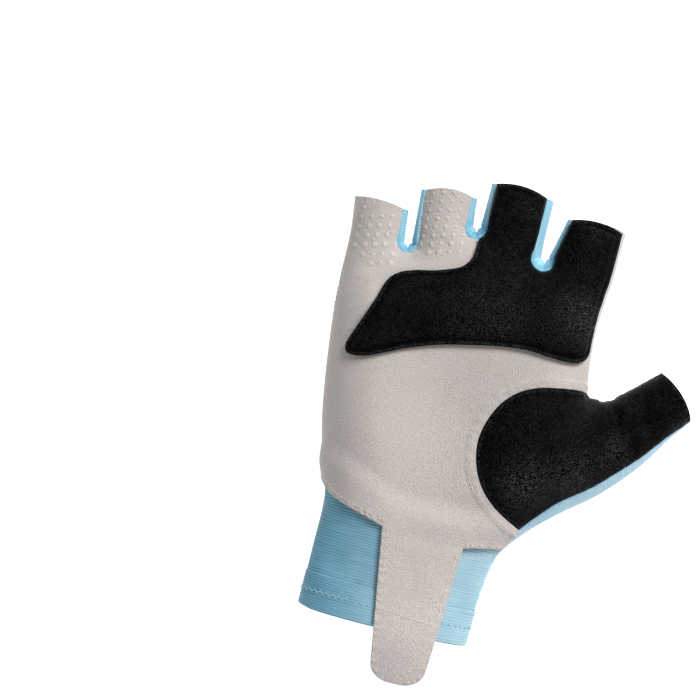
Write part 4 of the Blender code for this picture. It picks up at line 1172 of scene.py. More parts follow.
def palm_corners():
    """Corners of the palm suede's lower edge: at the side, and on each side of the tab."""
    side = run("little", 0, PALM_CORNER)[-1]
    heel = run("thumb_outer", 0, CUFF_CORNER, thenar_seam)[-1]
    low = (side[1] + heel[1]) / 2 - LOWER_SAG
    return (side, np.array([TAB_SHIFT - TAB_TOP / 2, low]),
            np.array([TAB_SHIFT + TAB_TOP / 2, low - LOWER_SLANT]), heel)


def lower_edge(shift):
    """The palm suede's lower edge without its tab, moved up the hand by a shift."""
    side, left, right, heel = palm_corners()
    return np.vstack([bowed(side, left, PALM_LOW), bowed(right, heel, PALM_LOW)]) + (0, shift)


SIDE_REACH = (0.003, 0.012)     # from the side edge, where the lift grows to its full height


def lift(points):
    """How far the palm suede is raised where it lies over the cuff cloth."""
    line = lower_edge(0)
    order = np.argsort(line[:, 0])
    edge = np.interp(points[:, 0], line[order, 0], line[order, 1])
    clear = TUCK + LIFT_CLEAR
    _, depth = nearest(points)
    full = LIFT_SIDE + (LIFT - LIFT_SIDE) * ease(*SIDE_REACH, depth)
    return full * (1 - ease(clear, clear + LIFT_RAMP, points[:, 1] - edge))


# %% Widths of the strips
# How wide a strip shows on the palm side, left and right of its crotch. By the crotch it is wider,
# over WIDER_REACH, and at its bottom it droops, over DROOP_REACH.
WIDER_REACH, DROOP_REACH, BOTTOM_HALF = 0.010, 0.0021, 0.003
Strip = namedtuple("Strip", "left right wider droop")
STRIPS = {"little_ring": Strip(0.0013, 0.0014, 0.0005, 0.0003),
          "ring_middle": Strip(0.0013, 0.0017, 0.0005, 0.0013),
          "middle_index": Strip(0.0028, 0.0013, 0.0002, 0.0022)}


def from_bottom(name):
    """A function that tells how far a share of a crotch's edge is past its bottom."""
    points = EDGES[name].points
    s, length = shares(points)
    bottom = s[np.argmin(points[:, 1])]
    return lambda at: (at - bottom) * length


def strip_seam(name, extra=0.0):
    """A strip's width on the palm side: it is wider by the crotch, and droops at its bottom."""
    strip, past = STRIPS[name], from_bottom(name)

    def width(at):
        to_right = ease(-BOTTOM_HALF, BOTTOM_HALF, past(at))
        return (extra + strip.left + (strip.right - strip.left) * to_right
                + strip.wider * np.exp(-(past(at) / WIDER_REACH)**2)
                + strip.droop * np.exp(-(past(at) / DROOP_REACH)**2))
    return width


print("lower edge of the suede is", round(shares(lower_edge(0))[1] * 1000), "mm long")

# %% [markdown]
# ## Small folds and puckers
#
# A sewn seam pulls its cloth: short waves stand along it and fade within a few millimetres. Larger
# creases lie where the fingers and the thumb bend. Cloth simulation could find such folds from a
# moving hand. Here they are a table of soft dents, placed where the photographed glove has them,
# plus a wave along each seam.

# %% Creases and puckers
CREASES = (
    Fold("web_deep", 1.240, 0.300, 104, 0.170, 0.036, 0.075),
    Fold("web_side", 1.135, 0.345, 76, 0.120, 0.036, 0.055),
    Fold("web_roll", 1.180, 0.330, 96, 0.110, 0.026, -0.045),
    Fold("thumb_bend", 1.460, 0.360, 112, 0.140, 0.044, 0.055),
    Fold("thumb_fold", 1.330, 0.215, 84, 0.150, 0.040, 0.050),
    Fold("mound_low", 0.900, -0.180, 40, 0.200, 0.070, 0.012),
    Fold("index_dent", 0.800, 0.900, 128, 0.150, 0.048, 0.020),
    Fold("index_dent_two", 0.640, 0.800, 160, 0.190, 0.056, 0.014),
    Fold("middle_dent", 0.140, 0.930, 12, 0.150, 0.050, 0.014),
    Fold("ring_dent", -0.300, 0.960, 172, 0.130, 0.036, 0.012),
    Fold("ring_dent_two", -0.340, 0.860, 8, 0.150, 0.040, 0.010),
    Fold("little_dent", -0.780, 0.760, 10, 0.110, 0.044, 0.012),
    Fold("tab_fold", 0.060, -0.780, 84, 0.200, 0.046, 0.012),
    Fold("tab_root", 0.080, -0.500, 4, 0.220, 0.060, 0.014),
    Fold("heel_left", -0.420, -0.330, 150, 0.200, 0.070, 0.012),
    Fold("cuff_left", -0.520, -0.700, 88, 0.260, 0.070, 0.020),
    Fold("cuff_right", 0.480, -0.780, 96, 0.240, 0.060, 0.012),
)


def puckers(edge, way, pitch=0.0034, height=0.00022, reach=0.0022):
    """Short waves that stand along a seam and fade away from it."""
    wave = np.sin(way / pitch * TURN + 1.7 * np.sin(way / pitch * 1.9))
    return height * wave * np.exp(-edge / reach) * ease(0, 0.0006, edge)


def creased(points, edge, way):
    """The table's dents and the seams' puckers together."""
    return -dents(points, CREASES) + puckers(edge, way)


print(len(CREASES), "creases")

# %% [markdown]
# ## Palm of suede, with the tab
#
# The palm is the largest piece: the palm itself, the fronts of the fingers, two sides that fold
# round to the back, and the tab below. It is cut in one outline, as the real one is. Its cut edge
# by the tab is drawn in by the stitches into small scallops, so that stretch of the outline is a
# wave. A raised line follows the thumb's leather, where the seam allowance is stitched down.

# %% Outline of the palm
SCALLOP_PITCH = 0.0013
SCALLOP = 0.00016           # how far the stitches draw the edge in


def waves(points, pitch):
    """Rows of half waves along a line, from 0 at a stitch to 1 between two."""
    s, length = shares(points)
    return np.abs(np.sin(s * length / pitch * math.pi))


def scalloped(line):
    """A line drawn in by its stitches."""
    fine = evenly(line, SCALLOP_PITCH / 4)
    return sideways(fine, SCALLOP * waves(fine, SCALLOP_PITCH))


def tab_outline():
    """The tab from its right corner round the free end to its left corner."""
    _, left, right, _ = palm_corners()
    foot = HEM_Y - TAB_LENGTH
    middle, half = TAB_SHIFT + TAB_LEAN, TAB_END / 2
    round_x, round_y = TAB_END * TAB_ROUND[0], TAB_END * TAB_ROUND[1]
    turn = np.linspace(0, -math.pi / 2, 15)
    right_arc = [(middle + half - round_x + round_x * math.cos(a),
                  foot + round_y + round_y * math.sin(a)) for a in turn]
    left_arc = [(2 * middle - x, y) for x, y in reversed(right_arc)]
    end = evenly(np.array([right_arc[-1], left_arc[0]]), STATION)[1:-1]
    down = evenly(np.array([right, right_arc[0]]), STATION)
    return down[:-1], np.vstack([right_arc, end, left_arc]), np.array([left_arc[-1], left])


# %% The palm's outline
def over_the_fingers(side, webs, last):
    """An outline's top, from the little finger's side over all openings and crotches."""
    tops = [side, *webs, last]
    parts = [side]
    for before, after in zip(tops, tops[1:]):
        parts += [opening(before[-1], after[0]), after]
    return parts


def palm_outline():
    side = run("little", PALM_CORNER, 1, little_seam, HALF_GAP)
    webs = [run(name, seam=strip_seam(name), shift=HALF_GAP) for name in CROTCH_NAMES]
    index = run("web", 0, beside("web", WEB_CORNER, -1), web_seam, HALF_GAP)
    heel = run("thumb_outer", beside("thumb_outer", HEEL_CORNER, 1), CUFF_CORNER,
               thenar_seam, HALF_GAP)
    corners = palm_corners()
    low_right = spread(bowed(corners[3], corners[2], turned(PALM_LOW)))
    low_left = scalloped(bowed(corners[1], corners[0], turned(PALM_LEFT_LOW)))
    down, end, up = tab_outline()
    return ring(*over_the_fingers(side, webs, index), thumb_seam_line(-HALF_GAP)[1:-1], heel,
                low_right[1:], down[1:], end, scalloped(up)[1:], low_left[1:-1])


palm_line = palm_outline()
print("palm outline has", len(palm_line), "points")

# %% The palm piece
from_thumb_seam = line_distance(thumb_seam_line(0), 1)


def bump(far, middle, reach, height):
    """A rounded ridge at a distance from a line, or a groove where its height is negative."""
    return height * np.exp(-((far - middle) / reach)**2)


def palm_height(points, edge, way):
    """The seam allowance along the thumb's leather ends in a ridge, with its stitches behind."""
    far, _ = from_thumb_seam(laid(points, 1))
    ridge = bump(far, 0.0029, 0.00060, 0.00042) + bump(far, 0.0037, 0.00040, -0.00022)
    slope = 0.00018 * ease(0, 0.0028, far) * (1 - ease(0.0028, 0.0040, far))
    return lift(points) + ridge + slope + creased(points, edge, way)


palm = panel("palm_suede", palm_line, 1, GREY_SUEDE, low=lambda p: lift(p) - WALL,
             high=palm_height)
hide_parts("palm_panel")
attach(palm, "root")

# %% [markdown]
# ## Back of the hand in knit
#
# The knit back is one piece as well: the back of the hand, the finger and thumb backs, and the
# thumb's outer side, which folds up into view. It is laid on the same surface from below. Its
# underside is flat where the glove rests, and the seams pucker it as they do the palm.

# %% The back piece
def back_outline():
    foot = HEM_Y + HEM_HEIGHT + GAP
    side = run("little", share_at_height("little", foot), 1, little_seam, -HALF_GAP, -1)
    webs = [run(name, seam=-GUSSET_BACK, shift=-HALF_GAP, side=-1) for name in CROTCH_NAMES]
    web = run("web", 0, 1, web_seam, -HALF_GAP, -1)
    outer = run("thumb_outer", 0, share_at_height("thumb_outer", foot), thenar_seam, -HALF_GAP, -1)
    return ring(*over_the_fingers(side, webs, web), opening(web[-1], outer[0]), outer,
                opening(outer[-1], side[0], 0))


def back_height(points, edge, way):
    """Puckers only where the cloth is off the surface that the glove lies on."""
    free = ease(0.0010, 0.0030, laid(points, -1)[:, 2])
    return puckers(edge, way, height=0.0002) * free


back = panel("knit_back", back_outline(), -1, BLUE_KNIT, high=back_height)
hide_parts("back_panel")
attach(back, "root")

# %% [markdown]
# ## Leather on the thumb
#
# Black leather covers the thumb's front and the ball of the thumb, where a rod rubs. It is thicker
# than the suede and bends in a few deep folds by the crotch of the thumb. The same dents serve it,
# and its edge is rounded by the same rule.

# %% The thumb piece
def thumb_outline():
    outer = run("thumb_outer", beside("thumb_outer", HEEL_CORNER, -1), 0, thenar_seam, HALF_GAP)
    inner = run("web", 1, beside("web", WEB_CORNER, 1), web_seam, HALF_GAP)
    return ring(outer, opening(outer[-1], inner[0], -TIP_ARCH), inner,
                thumb_seam_line(HALF_GAP)[1:-1])


THUMB_PROUD = 0.0001        # the leather is a little thicker than the suede


def thumb_height(points, edge, way):
    return THUMB_PROUD + creased(points, edge, way)


thumb = panel("thumb_leather", thumb_outline(), 1, BLACK_LEATHER, high=thumb_height)
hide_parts("thumb_panel")
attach(thumb, "root")

# %% [markdown]
# ## The padded palm pad
#
# A leather pad with a thin foam core lies over the upper palm and the fronts of two fingers. Its
# border is pressed flat and sewn in a groove, and its middle puffs up. A cloth simulation with
# pressure would swell it, but the groove and the border must stay where the needle ran, so the puff
# is a rule of the distance from the edge.

# %% The pad piece
def pad_corners():
    """The pad's outer end, its upper corner, and the lower corner by the index finger."""
    return (np.array([-0.812 * HALF_PALM, 0.300 * KNUCKLE_Y]),
            np.array([-0.640 * HALF_PALM, 0.745 * KNUCKLE_Y]),
            np.array([0.965 * HALF_PALM, 0.560 * KNUCKLE_Y]))


def softened(outline, turns):
    """A closed outline with its corners softened below the knuckles."""
    for _ in range(turns):
        before, after = np.roll(outline, 1, axis=0), np.roll(outline, -1, axis=0)
        a, b = outline - before, after - outline
        across = a[:, 0] * b[:, 1] - a[:, 1] * b[:, 0]
        bend = np.abs(np.arctan2(across, np.einsum("ij,ij->i", a, b)))
        sharp = (bend > math.radians(12)) & (outline[:, 1] < KNUCKLE_Y * 0.95)
        near = sharp | np.roll(sharp, 1) | np.roll(sharp, -1)
        outline = np.where(near[:, None], 0.5 * outline + 0.25 * (before + after), outline)
    return outline


def pad_outline():
    low, high, right = pad_corners()
    clear = GAP + PAD_CLEARANCE
    web_left = run("ring_middle", seam=strip_seam("ring_middle", clear))
    middle = len(web_left) // 2
    web_right = run("middle_index", seam=strip_seam("middle_index", clear))
    index = run("web", 0, share_of_index(right[1]), PAD_INDEX)
    lower = spread(bowed(index[-1], low, turned(PAD_LOW)))
    left = spread(bowed(low, high, PAD_LEFT))
    top = spread(bowed(high, web_left[middle], PAD_TOP))
    return softened(ring(left, top[1:-1], *over_the_fingers(web_left[middle:], [web_right], index),
                         lower[1:-1]), 6)


# %% Form of the pad
pad_line = pad_outline()
PAD_RIMS = (0.0003, 0.0009, 0.0014, 0.0017, 0.0020, 0.0026, 0.0036)
PAD_GROOVE = PAD_BORDER * 0.70      # where the needle ran, in from the edge
GROOVE_DEPTH, GROOVE_WIDTH = 0.00075, 0.00030
PAD_CROWN = 0.00018                 # how much fuller the field's middle is
PAD_BITE = 0.0005                   # the pad's underside sinks into the cloth by this much
strip_tree = nearest_tree(np.vstack([run(name, seam=strip_seam(name))
                                     for name in ("ring_middle", "middle_index")]))


def from_strips(points):
    """How far pattern points lie from the two strips that border the pad."""
    return np.array([strip_tree.find((x, y, 0))[2] for x, y in points])


def pad_height(points, edge, way):
    """Pressed border, stitched groove, and the puffed field inside it. By the strips it is not
    sewn down, so it only rounds off there."""
    sewn = ease(0.0036, 0.0058, from_strips(points))
    puff = (ease(PAD_BORDER * 0.72, PAD_BORDER * 1.5, edge) * sewn
            + ease(0, 0.0020, edge) * (1 - sewn))
    groove = bump(edge, PAD_GROOVE, GROOVE_WIDTH, GROOVE_DEPTH) * sewn
    crown = PAD_CROWN * ease(0.004, 0.012, edge)
    return (PAD_CLEARANCE + PAD_EDGE + (PAD_FIELD - PAD_EDGE) * puff + crown - groove
            - dents(points, CREASES) + puckers(edge, way, 0.0040, 0.00012, 0.0016))


pad = panel("leather_pad", pad_line, 1, BLACK_LEATHER, low=PAD_CLEARANCE - PAD_BITE,
            high=pad_height, rims=PAD_RIMS)
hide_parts("palm_pad")
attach(pad, "root")

# %% [markdown]
# ## Ribbed cuff
#
# On the palm side of the wrist the knit shows its ribs plainly. They are one rule repeated, a
# rounded ridge every millimetre, so Geometry Nodes make them: the tree pushes the outer face of a
# fine grid in and out by the height of each point in the pattern. Each rib gets a slightly
# different height from a seeded random value.

# %% Tree for the ribs
class Tree(Nodes):
    """A geometry node tree with named inputs."""

    def __init__(self, name, inputs):
        super().__init__(bpy.data.node_groups.new(name, "GeometryNodeTree"))
        kinds = {float: "Float", int: "Int"}
        face = self.tree.interface
        face.new_socket("Geometry", in_out="OUTPUT", socket_type="NodeSocketGeometry")
        face.new_socket("Geometry", in_out="INPUT", socket_type="NodeSocketGeometry")
        for key, value in inputs.items():
            kind = kinds.get(type(value), "Material")
            socket = face.new_socket(key, in_out="INPUT", socket_type="NodeSocket" + kind)
            if value is not None:
                socket.default_value = value
        self.start = self.tree.nodes.new("NodeGroupInput")

    def given(self, name):
        return Number(self, self.start.outputs[name])

    def stored(self, name, kind="FLOAT"):
        return self.node("GeometryNodeInputNamedAttribute", {"data_type": kind}, {"Name": name})

    def random(self, low, high, **inputs):
        """A seeded number that differs a little from one rib, stitch or dot to the next."""
        return self.node("FunctionNodeRandomValue", {"data_type": "FLOAT"}, {
            2: low, 3: high, "Seed": self.given("Seed"), **inputs}, 1)

    def close(self, geometry):
        """Realize Instances, Set Material and the output."""
        real = self.node("GeometryNodeRealizeInstances", {}, {0: geometry})
        painted = self.node("GeometryNodeSetMaterial", {}, {
            0: real, "Material": self.given("Material")})
        end = self.tree.nodes.new("NodeGroupOutput")
        self.put(end.inputs[0], painted)
        return self.tree


# %% The rib tree, and running a tree
def worked(thing, tree, inputs):
    """Runs a tree on an object and keeps the result as its plain mesh."""
    modifier = thing.modifiers.new(tree.name, "NODES")
    modifier.node_group = tree
    for item in tree.interface.items_tree:
        if item.in_out == "INPUT" and item.name in inputs:
            modifier[item.identifier] = inputs[item.name]
    ready = thing.evaluated_get(bpy.context.evaluated_depsgraph_get())
    mesh = bpy.data.meshes.new_from_object(ready)
    mesh.name = thing.name
    thing.modifiers.clear()
    thing.data = mesh
    print(f"{thing.name}: {len(mesh.polygons)} faces after {tree.name}")
    return thing


def rib_tree():
    tree = Tree("ribs", {"Pitch": RIB_PITCH / 1000, "Height": 0.0002, "Seed": 3, "Material": None})
    row = tree.stored("row") / tree.given("Pitch")
    crest = tree.sum("ABSOLUTE", tree.sum("SINE", row * math.pi)) ** 0.7
    each = tree.random(0.7, 1.15, ID=tree.sum("FLOOR", row))
    push = (crest - 0.6) * each * tree.given("Height") * tree.stored("ribbed")
    offset = tree.scaled(tree.node("GeometryNodeInputNormal", {}, {}), push)
    moved = tree.node("GeometryNodeSetPosition", {}, {0: tree.given("Geometry"), "Offset": offset})
    return tree.close(moved)


RIBS = rib_tree()
print("tree:", RIBS.name)


# %% The cuff's palm side
def row_ends(y):
    """Where a row of the cuff starts and ends: at the little finger's side, at the thumb's, and
    where the palm side's cloth meets the back's before that."""
    left = along(EDGES["little"].points, share_at_height("little", y))[0]
    share = share_at_height("thumb_outer", y)
    right = along(EDGES["thumb_outer"].points, share)[0]
    return left[0], right[0], right[0] - float(thenar_seam(share))


CUFF_COLUMNS = 65
POINTS_PER_RIB = 6


def cuff_panel():
    """Rows across the wrist, which end where they meet the suede's edge and its tuck."""
    step = RIB_PITCH / 1000 / POINTS_PER_RIB
    edge = lower_edge(TUCK)
    order = np.argsort(edge[:, 0])
    foot = HEM_Y + HEM_HEIGHT + 0.00003
    turn = 0.5 - 0.5 * np.cos(np.linspace(0, math.pi, CUFF_COLUMNS))
    rows = []
    for y in np.arange(foot, edge[:, 1].max() + step, step):
        left, _, right = row_ends(y)
        xs = left + 0.00002 + (right - left - HALF_GAP) * turn
        top = np.interp(xs, edge[order, 0], edge[order, 1])
        rows.append(np.column_stack([xs, np.minimum(y, top)]))
    grid = np.stack(rows)
    ended = (np.abs(grid[1:, :, 1] - grid[:-1, :, 1]) < 1e-9).ravel()
    faces = [face for face in grid_faces(len(rows), CUFF_COLUMNS)
             if not (ended[face[0]] or ended[face[1]])]
    flat = grid.reshape(-1, 2)
    used = sorted({v for face in faces for v in face})
    index = {v: i for i, v in enumerate(used)}
    faces = [tuple(index[v] for v in face) for face in faces]
    flat = flat[used]
    inward, depth = nearest(flat)
    depth = np.maximum(depth, 1e-6)
    low = flat[:, 1] - foot
    outer = surface(flat, inward, depth, -dents(flat, CREASES))
    inner = surface(flat, inward, depth, np.full(len(flat), -WALL))
    made = piece("cuff_knit_front", flat, outer, inner, faces, CUFF_KNIT, low, row=flat[:, 1],
                 ribbed=ease(0, 0.0006, low) * ease(0.0, 0.0004, depth))
    return worked(made, RIBS, {"Height": 0.00017, "Material": CUFF_KNIT})


cuff = cuff_panel()
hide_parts("cuff_panel")
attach(cuff, "root")

# %% [markdown]
# ## Hem of the cuff
#
# The cuff's edge is turned up double and held by a zigzag seam, which can stretch with the wrist.
# The hem is a closed band, so it is built as rings of points round the wrist, with the fold at the
# wrist opening rounded to the full thickness of both layers.

# %% The hem piece
HEM_CORNER, CORNER_REACH = 0.0009, 0.006    # its edge turns up at the little finger's side
ZIG_LIFT = 0.00009                          # the zigzag thread lies this high on the hem


def hem_loop(y, height, turn):
    """One ring round the wrist at a height above the surface: palm side, then the back."""
    left, right, _ = row_ends(y)
    middle, half = (left + right) / 2, (right - left) / 2
    near_edge = np.clip(1 - (y - HEM_Y) / CORNER_REACH, 0, 1)**2
    corner = HEM_CORNER * near_edge * np.clip(np.cos(turn), 0, 1)**12
    flat = np.column_stack([middle - half * np.cos(turn), y + corner])
    inward, depth = nearest(flat)
    depth = np.maximum(depth, 0)
    over = height - dents(flat, CREASES) * (height > -0.0005)
    palm_side = surface(flat, inward, depth, over)
    back_side = surface(flat, inward, -np.maximum(depth, 1e-7), height)
    back_x, back_y = flat[-2:0:-1].T
    beyond = np.column_stack([2 * back_x.max() - back_x + 0.03, back_y])
    return np.vstack([palm_side, back_side[-2:0:-1]]), np.vstack([flat, beyond])


def cuff_hem():
    """Rings from the fold at the wrist opening up to the hem's cut edge."""
    turn = np.linspace(0, math.pi, 73)
    outer, inner, flat = [], [], []
    for y in np.linspace(HEM_Y, HEM_Y + HEM_HEIGHT, 91):
        fold = rounding(y - HEM_Y, HEM_WALL * 0.45)
        cut = rounding(HEM_Y + HEM_HEIGHT - y, HEM_PROUD)
        outer.append(hem_loop(y, HEM_PROUD - (fold + cut), turn)[0])
        places, pattern = hem_loop(y, HEM_PROUD - HEM_WALL + fold, turn)
        inner.append(places)
        flat.append(pattern)
    faces = grid_faces(len(outer), len(outer[0]), rings=True)
    flat = np.vstack(flat)
    low = flat[:, 1] - HEM_Y
    outer = np.vstack(outer)
    free = ease(0.0006, 0.0016, outer[:, 2])
    ribbed = ease(0.0004, 0.0014, low) * ease(0.0003, 0.0009, HEM_HEIGHT - low) * free
    made = piece("hem", flat, outer, np.vstack(inner), faces, CUFF_KNIT, HEM_HEIGHT - low,
                 row=flat[:, 1], ribbed=ribbed)
    return worked(made, RIBS, {"Height": 0.00014, "Material": CUFF_KNIT})


hem = cuff_hem()
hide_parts("cuff_hem")
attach(hem, "root")

# %% [markdown]
# ## Strips between the fingers
#
# A bright knit strip runs down one finger's side, round the crotch and up the next. Its edge rolls
# over the suede as a soft welt that the stitches draw into scallops, and it creases where it turns
# round the crotch. A strip has its own regular grid, along and across, so welt, scallops and
# creases are written as heights of that grid. The knit is painted darker in the creases and at the
# crotch's bottom, as painted shade.

# %% The three strips
STRIP_STEP = 0.00026        # between two points along a strip
ACROSS = np.concatenate([np.linspace(0, 0.30, 13), np.linspace(0.34, 0.80, 12),
                         np.linspace(0.84, 1, 7)])
WELT, WELT_WIDTH = 0.00055, 0.0017
SCALLOP_STEP = 0.0011
LIP_OVER, LIP_SCALLOP = 0.00015, 0.00034    # how far the welt laps over the palm's cloth
BACK_OVER, BACK_SCALLOP = 0.00012, 0.00010  # and the strip's other edge over the back's
HEM_ROLL, HEM_ROLL_WIDTH = 0.0002, 0.0012   # at the strip's edge on the back
CROTCH_PUFF = 0.0004        # how much fuller a strip is by its crotch, and again left of it
PINCH = 0.00085             # depth of a crease of strength 1 where the strip turns round
CROTCH_CREASES = ((-0.0022, 0.25), (0.0001, 1.30), (0.0025, 0.45))     # place and strength


def turn_at(depth, shoulder):
    """Angle round the side edge of cloth that lies this far in."""
    return np.arccos(1 - np.clip(depth / shoulder, 0, 1))


def arch(at):
    """Half a wave: 0 at 0 and below, 1 at a half, 0 at 1 and above."""
    return np.sin(math.pi * np.clip(at, 0, 1))


def pinches(past, share):
    """How deep the creases round a crotch are, at one share of the way across the strip."""
    total = np.zeros(len(past))
    for place, strength in CROTCH_CREASES:
        off = (past - place - 0.0012 * share) / (0.00036 + 0.0003 * share)
        total += strength * np.exp(-off**2)
    return total * ease(-0.06, 0.10, share) * (1 - ease(0.85, 1.0, share))


# %% A strip as a grid
def gusset(name):
    """A grid along and across a strip: from its lip on the palm side to its edge on the back."""
    _, length = shares(EDGES[name].points)
    at = np.linspace(0, 1, round(length / STRIP_STEP) + 1)
    place, inward = on_edge(name, at)
    _, _, _, palm_shoulder, back_shoulder = section(place)
    seam = strip_seam(name)(at)
    wave = waves(place + inward * seam[:, None], SCALLOP_STEP)
    lip = slid(place, seam, LIP_OVER + LIP_SCALLOP * wave)
    back_lip = slid(place, np.full(len(at), -GUSSET_BACK), -BACK_OVER - BACK_SCALLOP * wave)
    first = turn_at(lip, palm_shoulder)
    plain = turn_at(slid(place, seam, LIP_OVER + LIP_SCALLOP / 2), palm_shoulder)
    last = turn_at(-back_lip, back_shoulder)
    width = (first + last) * (palm_shoulder + back_shoulder) / 2
    past = from_bottom(name)(at)
    puff = CROTCH_PUFF * (np.exp(-(past / 0.0055)**2) + 1 - ease(-0.004, 0.004, past))
    # Painted shade at the crotch's bottom, taken off the strip's edge numbers.
    crotch_shade = 0.0030 * np.exp(-(past / 0.0030)**2)
    outer, inner, flat, shades = [], [], [], []
    for share in ACROSS:
        turn = plain + (-last - plain) * share + (first - plain) * max(0, 1 - share / 0.10)
        depth = np.where(turn > 0, palm_shoulder, -back_shoulder) * (1 - np.cos(turn))
        from_lip, from_back = share * width, (1 - share) * width
        welt = WELT * arch((from_lip + 0.00022) / 0.0019)
        pinch = pinches(past, share)
        height = ((0.00006 + welt * (0.88 + 0.12 * wave)) * (from_lip < WELT_WIDTH)
                  + HEM_ROLL * arch(from_back / HEM_ROLL_WIDTH) + puff * arch(share / 0.75)
                  - PINCH * pinch - rounding(from_lip, 0.0002) - rounding(from_back, 0.0002))
        points = place + inward * np.abs(depth)[:, None]
        outer.append(surface(points, inward, depth, height))
        inner.append(surface(points, inward, depth, np.minimum(height - 0.0004, -WALL * 0.7)))
        flat.append(np.column_stack([np.zeros(len(at)), at * length]))
        # Painted shade: the edge numbers drop in the creases and at the crotch's bottom, so the
        # knit's colour darkens there.
        shades.append(np.minimum(from_lip, from_back) + 0.0008 - 0.0016 * pinch - crotch_shade)
    return piece(f"strip_{name}", np.vstack(flat), np.vstack(outer), np.vstack(inner),
                 grid_faces(len(ACROSS), len(at)), GUSSET_KNIT, np.concatenate(shades))


for name in CROTCH_NAMES:
    strip = gusset(name)
    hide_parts(f"gusset_{name}")
    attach(strip, "root")

# %% [markdown]
# ## Finger pulls
#
# Two suede bands cross the backs of the ring and the middle finger, sewn down at both ends, so that
# the glove can be pulled off. Their upper edge stands a little open, which draws a dark line above
# it. Each is a small pattern piece on the back side, lifted by its own height rule.

# %% The two pulls
def finger_pull(i):
    """The band across the back of finger i, from one strip's seam to the next one's."""
    seam = GUSSET_BACK + GAP + PAD_CLEARANCE
    left_top = run(CROTCHES[i - 1].name, seam=seam)[-1]
    right_top = run(CROTCHES[i].name, seam=seam)[0]
    foot = PULL_DROP + PULL_HEIGHT
    corners = [left_top - (0, PULL_DROP), right_top - (0, PULL_DROP), right_top - (0, foot),
               left_top - (0, foot)]
    sides = [spread(np.array([a, b]), 0.0008, -1)[:-1]
             for a, b in zip(corners, [*corners[1:], corners[0]])]
    top, low = corners[0][1], corners[3][1]

    def height(points, edge, way):
        across = (points[:, 0] - corners[0][0]) / (corners[1][0] - corners[0][0])
        stand = PULL_STAND * arch(across) * ease(low, top, points[:, 1])
        return PAD_CLEARANCE + PULL_WALL - 0.0002 + stand

    made = panel(f"pull_{FINGERS[i].name}", ring(*sides), -1, GREY_SUEDE,
                 low=PAD_CLEARANCE - 0.0004, high=height)
    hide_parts(f"finger_pull_{FINGERS[i].name}")
    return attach(made, "root")


for i in (1, 2):
    finger_pull(i)

# %% [markdown]
# ## Stitches
#
# Every seam that shows is a row of short stitches. Geometry Nodes set them: a line of points that
# lies on the cloth becomes a curve, is measured off at the pitch of the stitches, and takes one
# small rounded stitch at each mark, turned along the line and upright to the cloth. Placed by
# hand, a thousand of them would never keep their spacing.

# %% Tree for stitches
def stitch_tree():
    tree = Tree("stitches", {"Pitch": 0.0015, "Length": 0.0011, "Width": 0.00032, "Seed": 5,
                             "Material": None})
    line = tree.node("GeometryNodeMeshToCurve", {}, {0: tree.given("Geometry")})
    marks = tree.node("GeometryNodeResampleCurve", {"mode": "LENGTH"}, {
        0: line, "Length": tree.given("Pitch")})
    one = tree.node("GeometryNodeMeshUVSphere", {}, {"Segments": 8, "Rings": 5, "Radius": 0.5})
    first = tree.node("FunctionNodeAlignRotationToVector", {"axis": "X"}, {
        "Vector": tree.node("GeometryNodeInputTangent", {}, {})})
    turn = tree.node("FunctionNodeAlignRotationToVector", {"axis": "Z", "pivot_axis": "X"}, {
        "Rotation": first, "Vector": tree.stored("outward", "FLOAT_VECTOR")})
    size = tree.node("ShaderNodeCombineXYZ", {}, {
        0: tree.given("Length") * tree.random(0.86, 1.08),
        1: tree.given("Width"), 2: tree.given("Width")})
    rows = tree.node("GeometryNodeInstanceOnPoints", {}, {
        "Points": marks, "Instance": one, "Rotation": turn, "Scale": size})
    return tree.close(rows)


STITCHES = stitch_tree()
print("tree:", STITCHES.name)


# %% Threads from lines on the cloth
def on_cloth(line, side, height=0.0, step=0.0005):
    """A pattern line laid on the cloth, with the directions out of it."""
    fine = evenly(line, step)
    over = height(fine) if callable(height) else np.full(len(fine), height)
    return laid(fine, side, over), outwards(fine, side)


def threads(name, lines, finish, tree, inputs):
    """One object from several lines of places, worked by a tree."""
    places = np.vstack([p for p, _ in lines])
    mesh = bpy.data.meshes.new(name)
    ends = np.cumsum([len(p) for p, _ in lines])
    pairs = [(i, i + 1) for i in range(len(places) - 1) if i + 1 not in ends]
    mesh.from_pydata(places.tolist(), pairs, [])
    store(mesh, "outward", np.vstack([n for _, n in lines]), "FLOAT_VECTOR")
    made = worked(placed(name, mesh), tree, {**inputs, "Material": finish})
    made.data.shade_smooth()
    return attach(made, "root")


# %% Cream stitches on the suede
TAB_LINE_Y = -0.0660        # the seam across the tab
SINK = 0.00006              # a stitch's middle lies this high on its cloth
side_corner, left_corner, right_corner, heel_corner = palm_corners()


def tab_side(top, way, inset_by):
    """A line down one side of the tab, inside its edge. The way is -1 left and 1 right."""
    low = np.array([TAB_SHIFT + TAB_LEAN + way * TAB_END / 2,
                    HEM_Y - TAB_LENGTH + TAB_END * TAB_ROUND[1]])
    share = (top[1] - TAB_LINE_Y) / (top[1] - low[1])
    shift = np.array([-way * inset_by, 0])
    return np.array([top + shift + (0, inset_by * 0.7), top + (low - top) * share + shift])


def suede_height(points):
    """Height of the suede's face, with its folds."""
    return lift(points) - dents(points, CREASES) + SINK


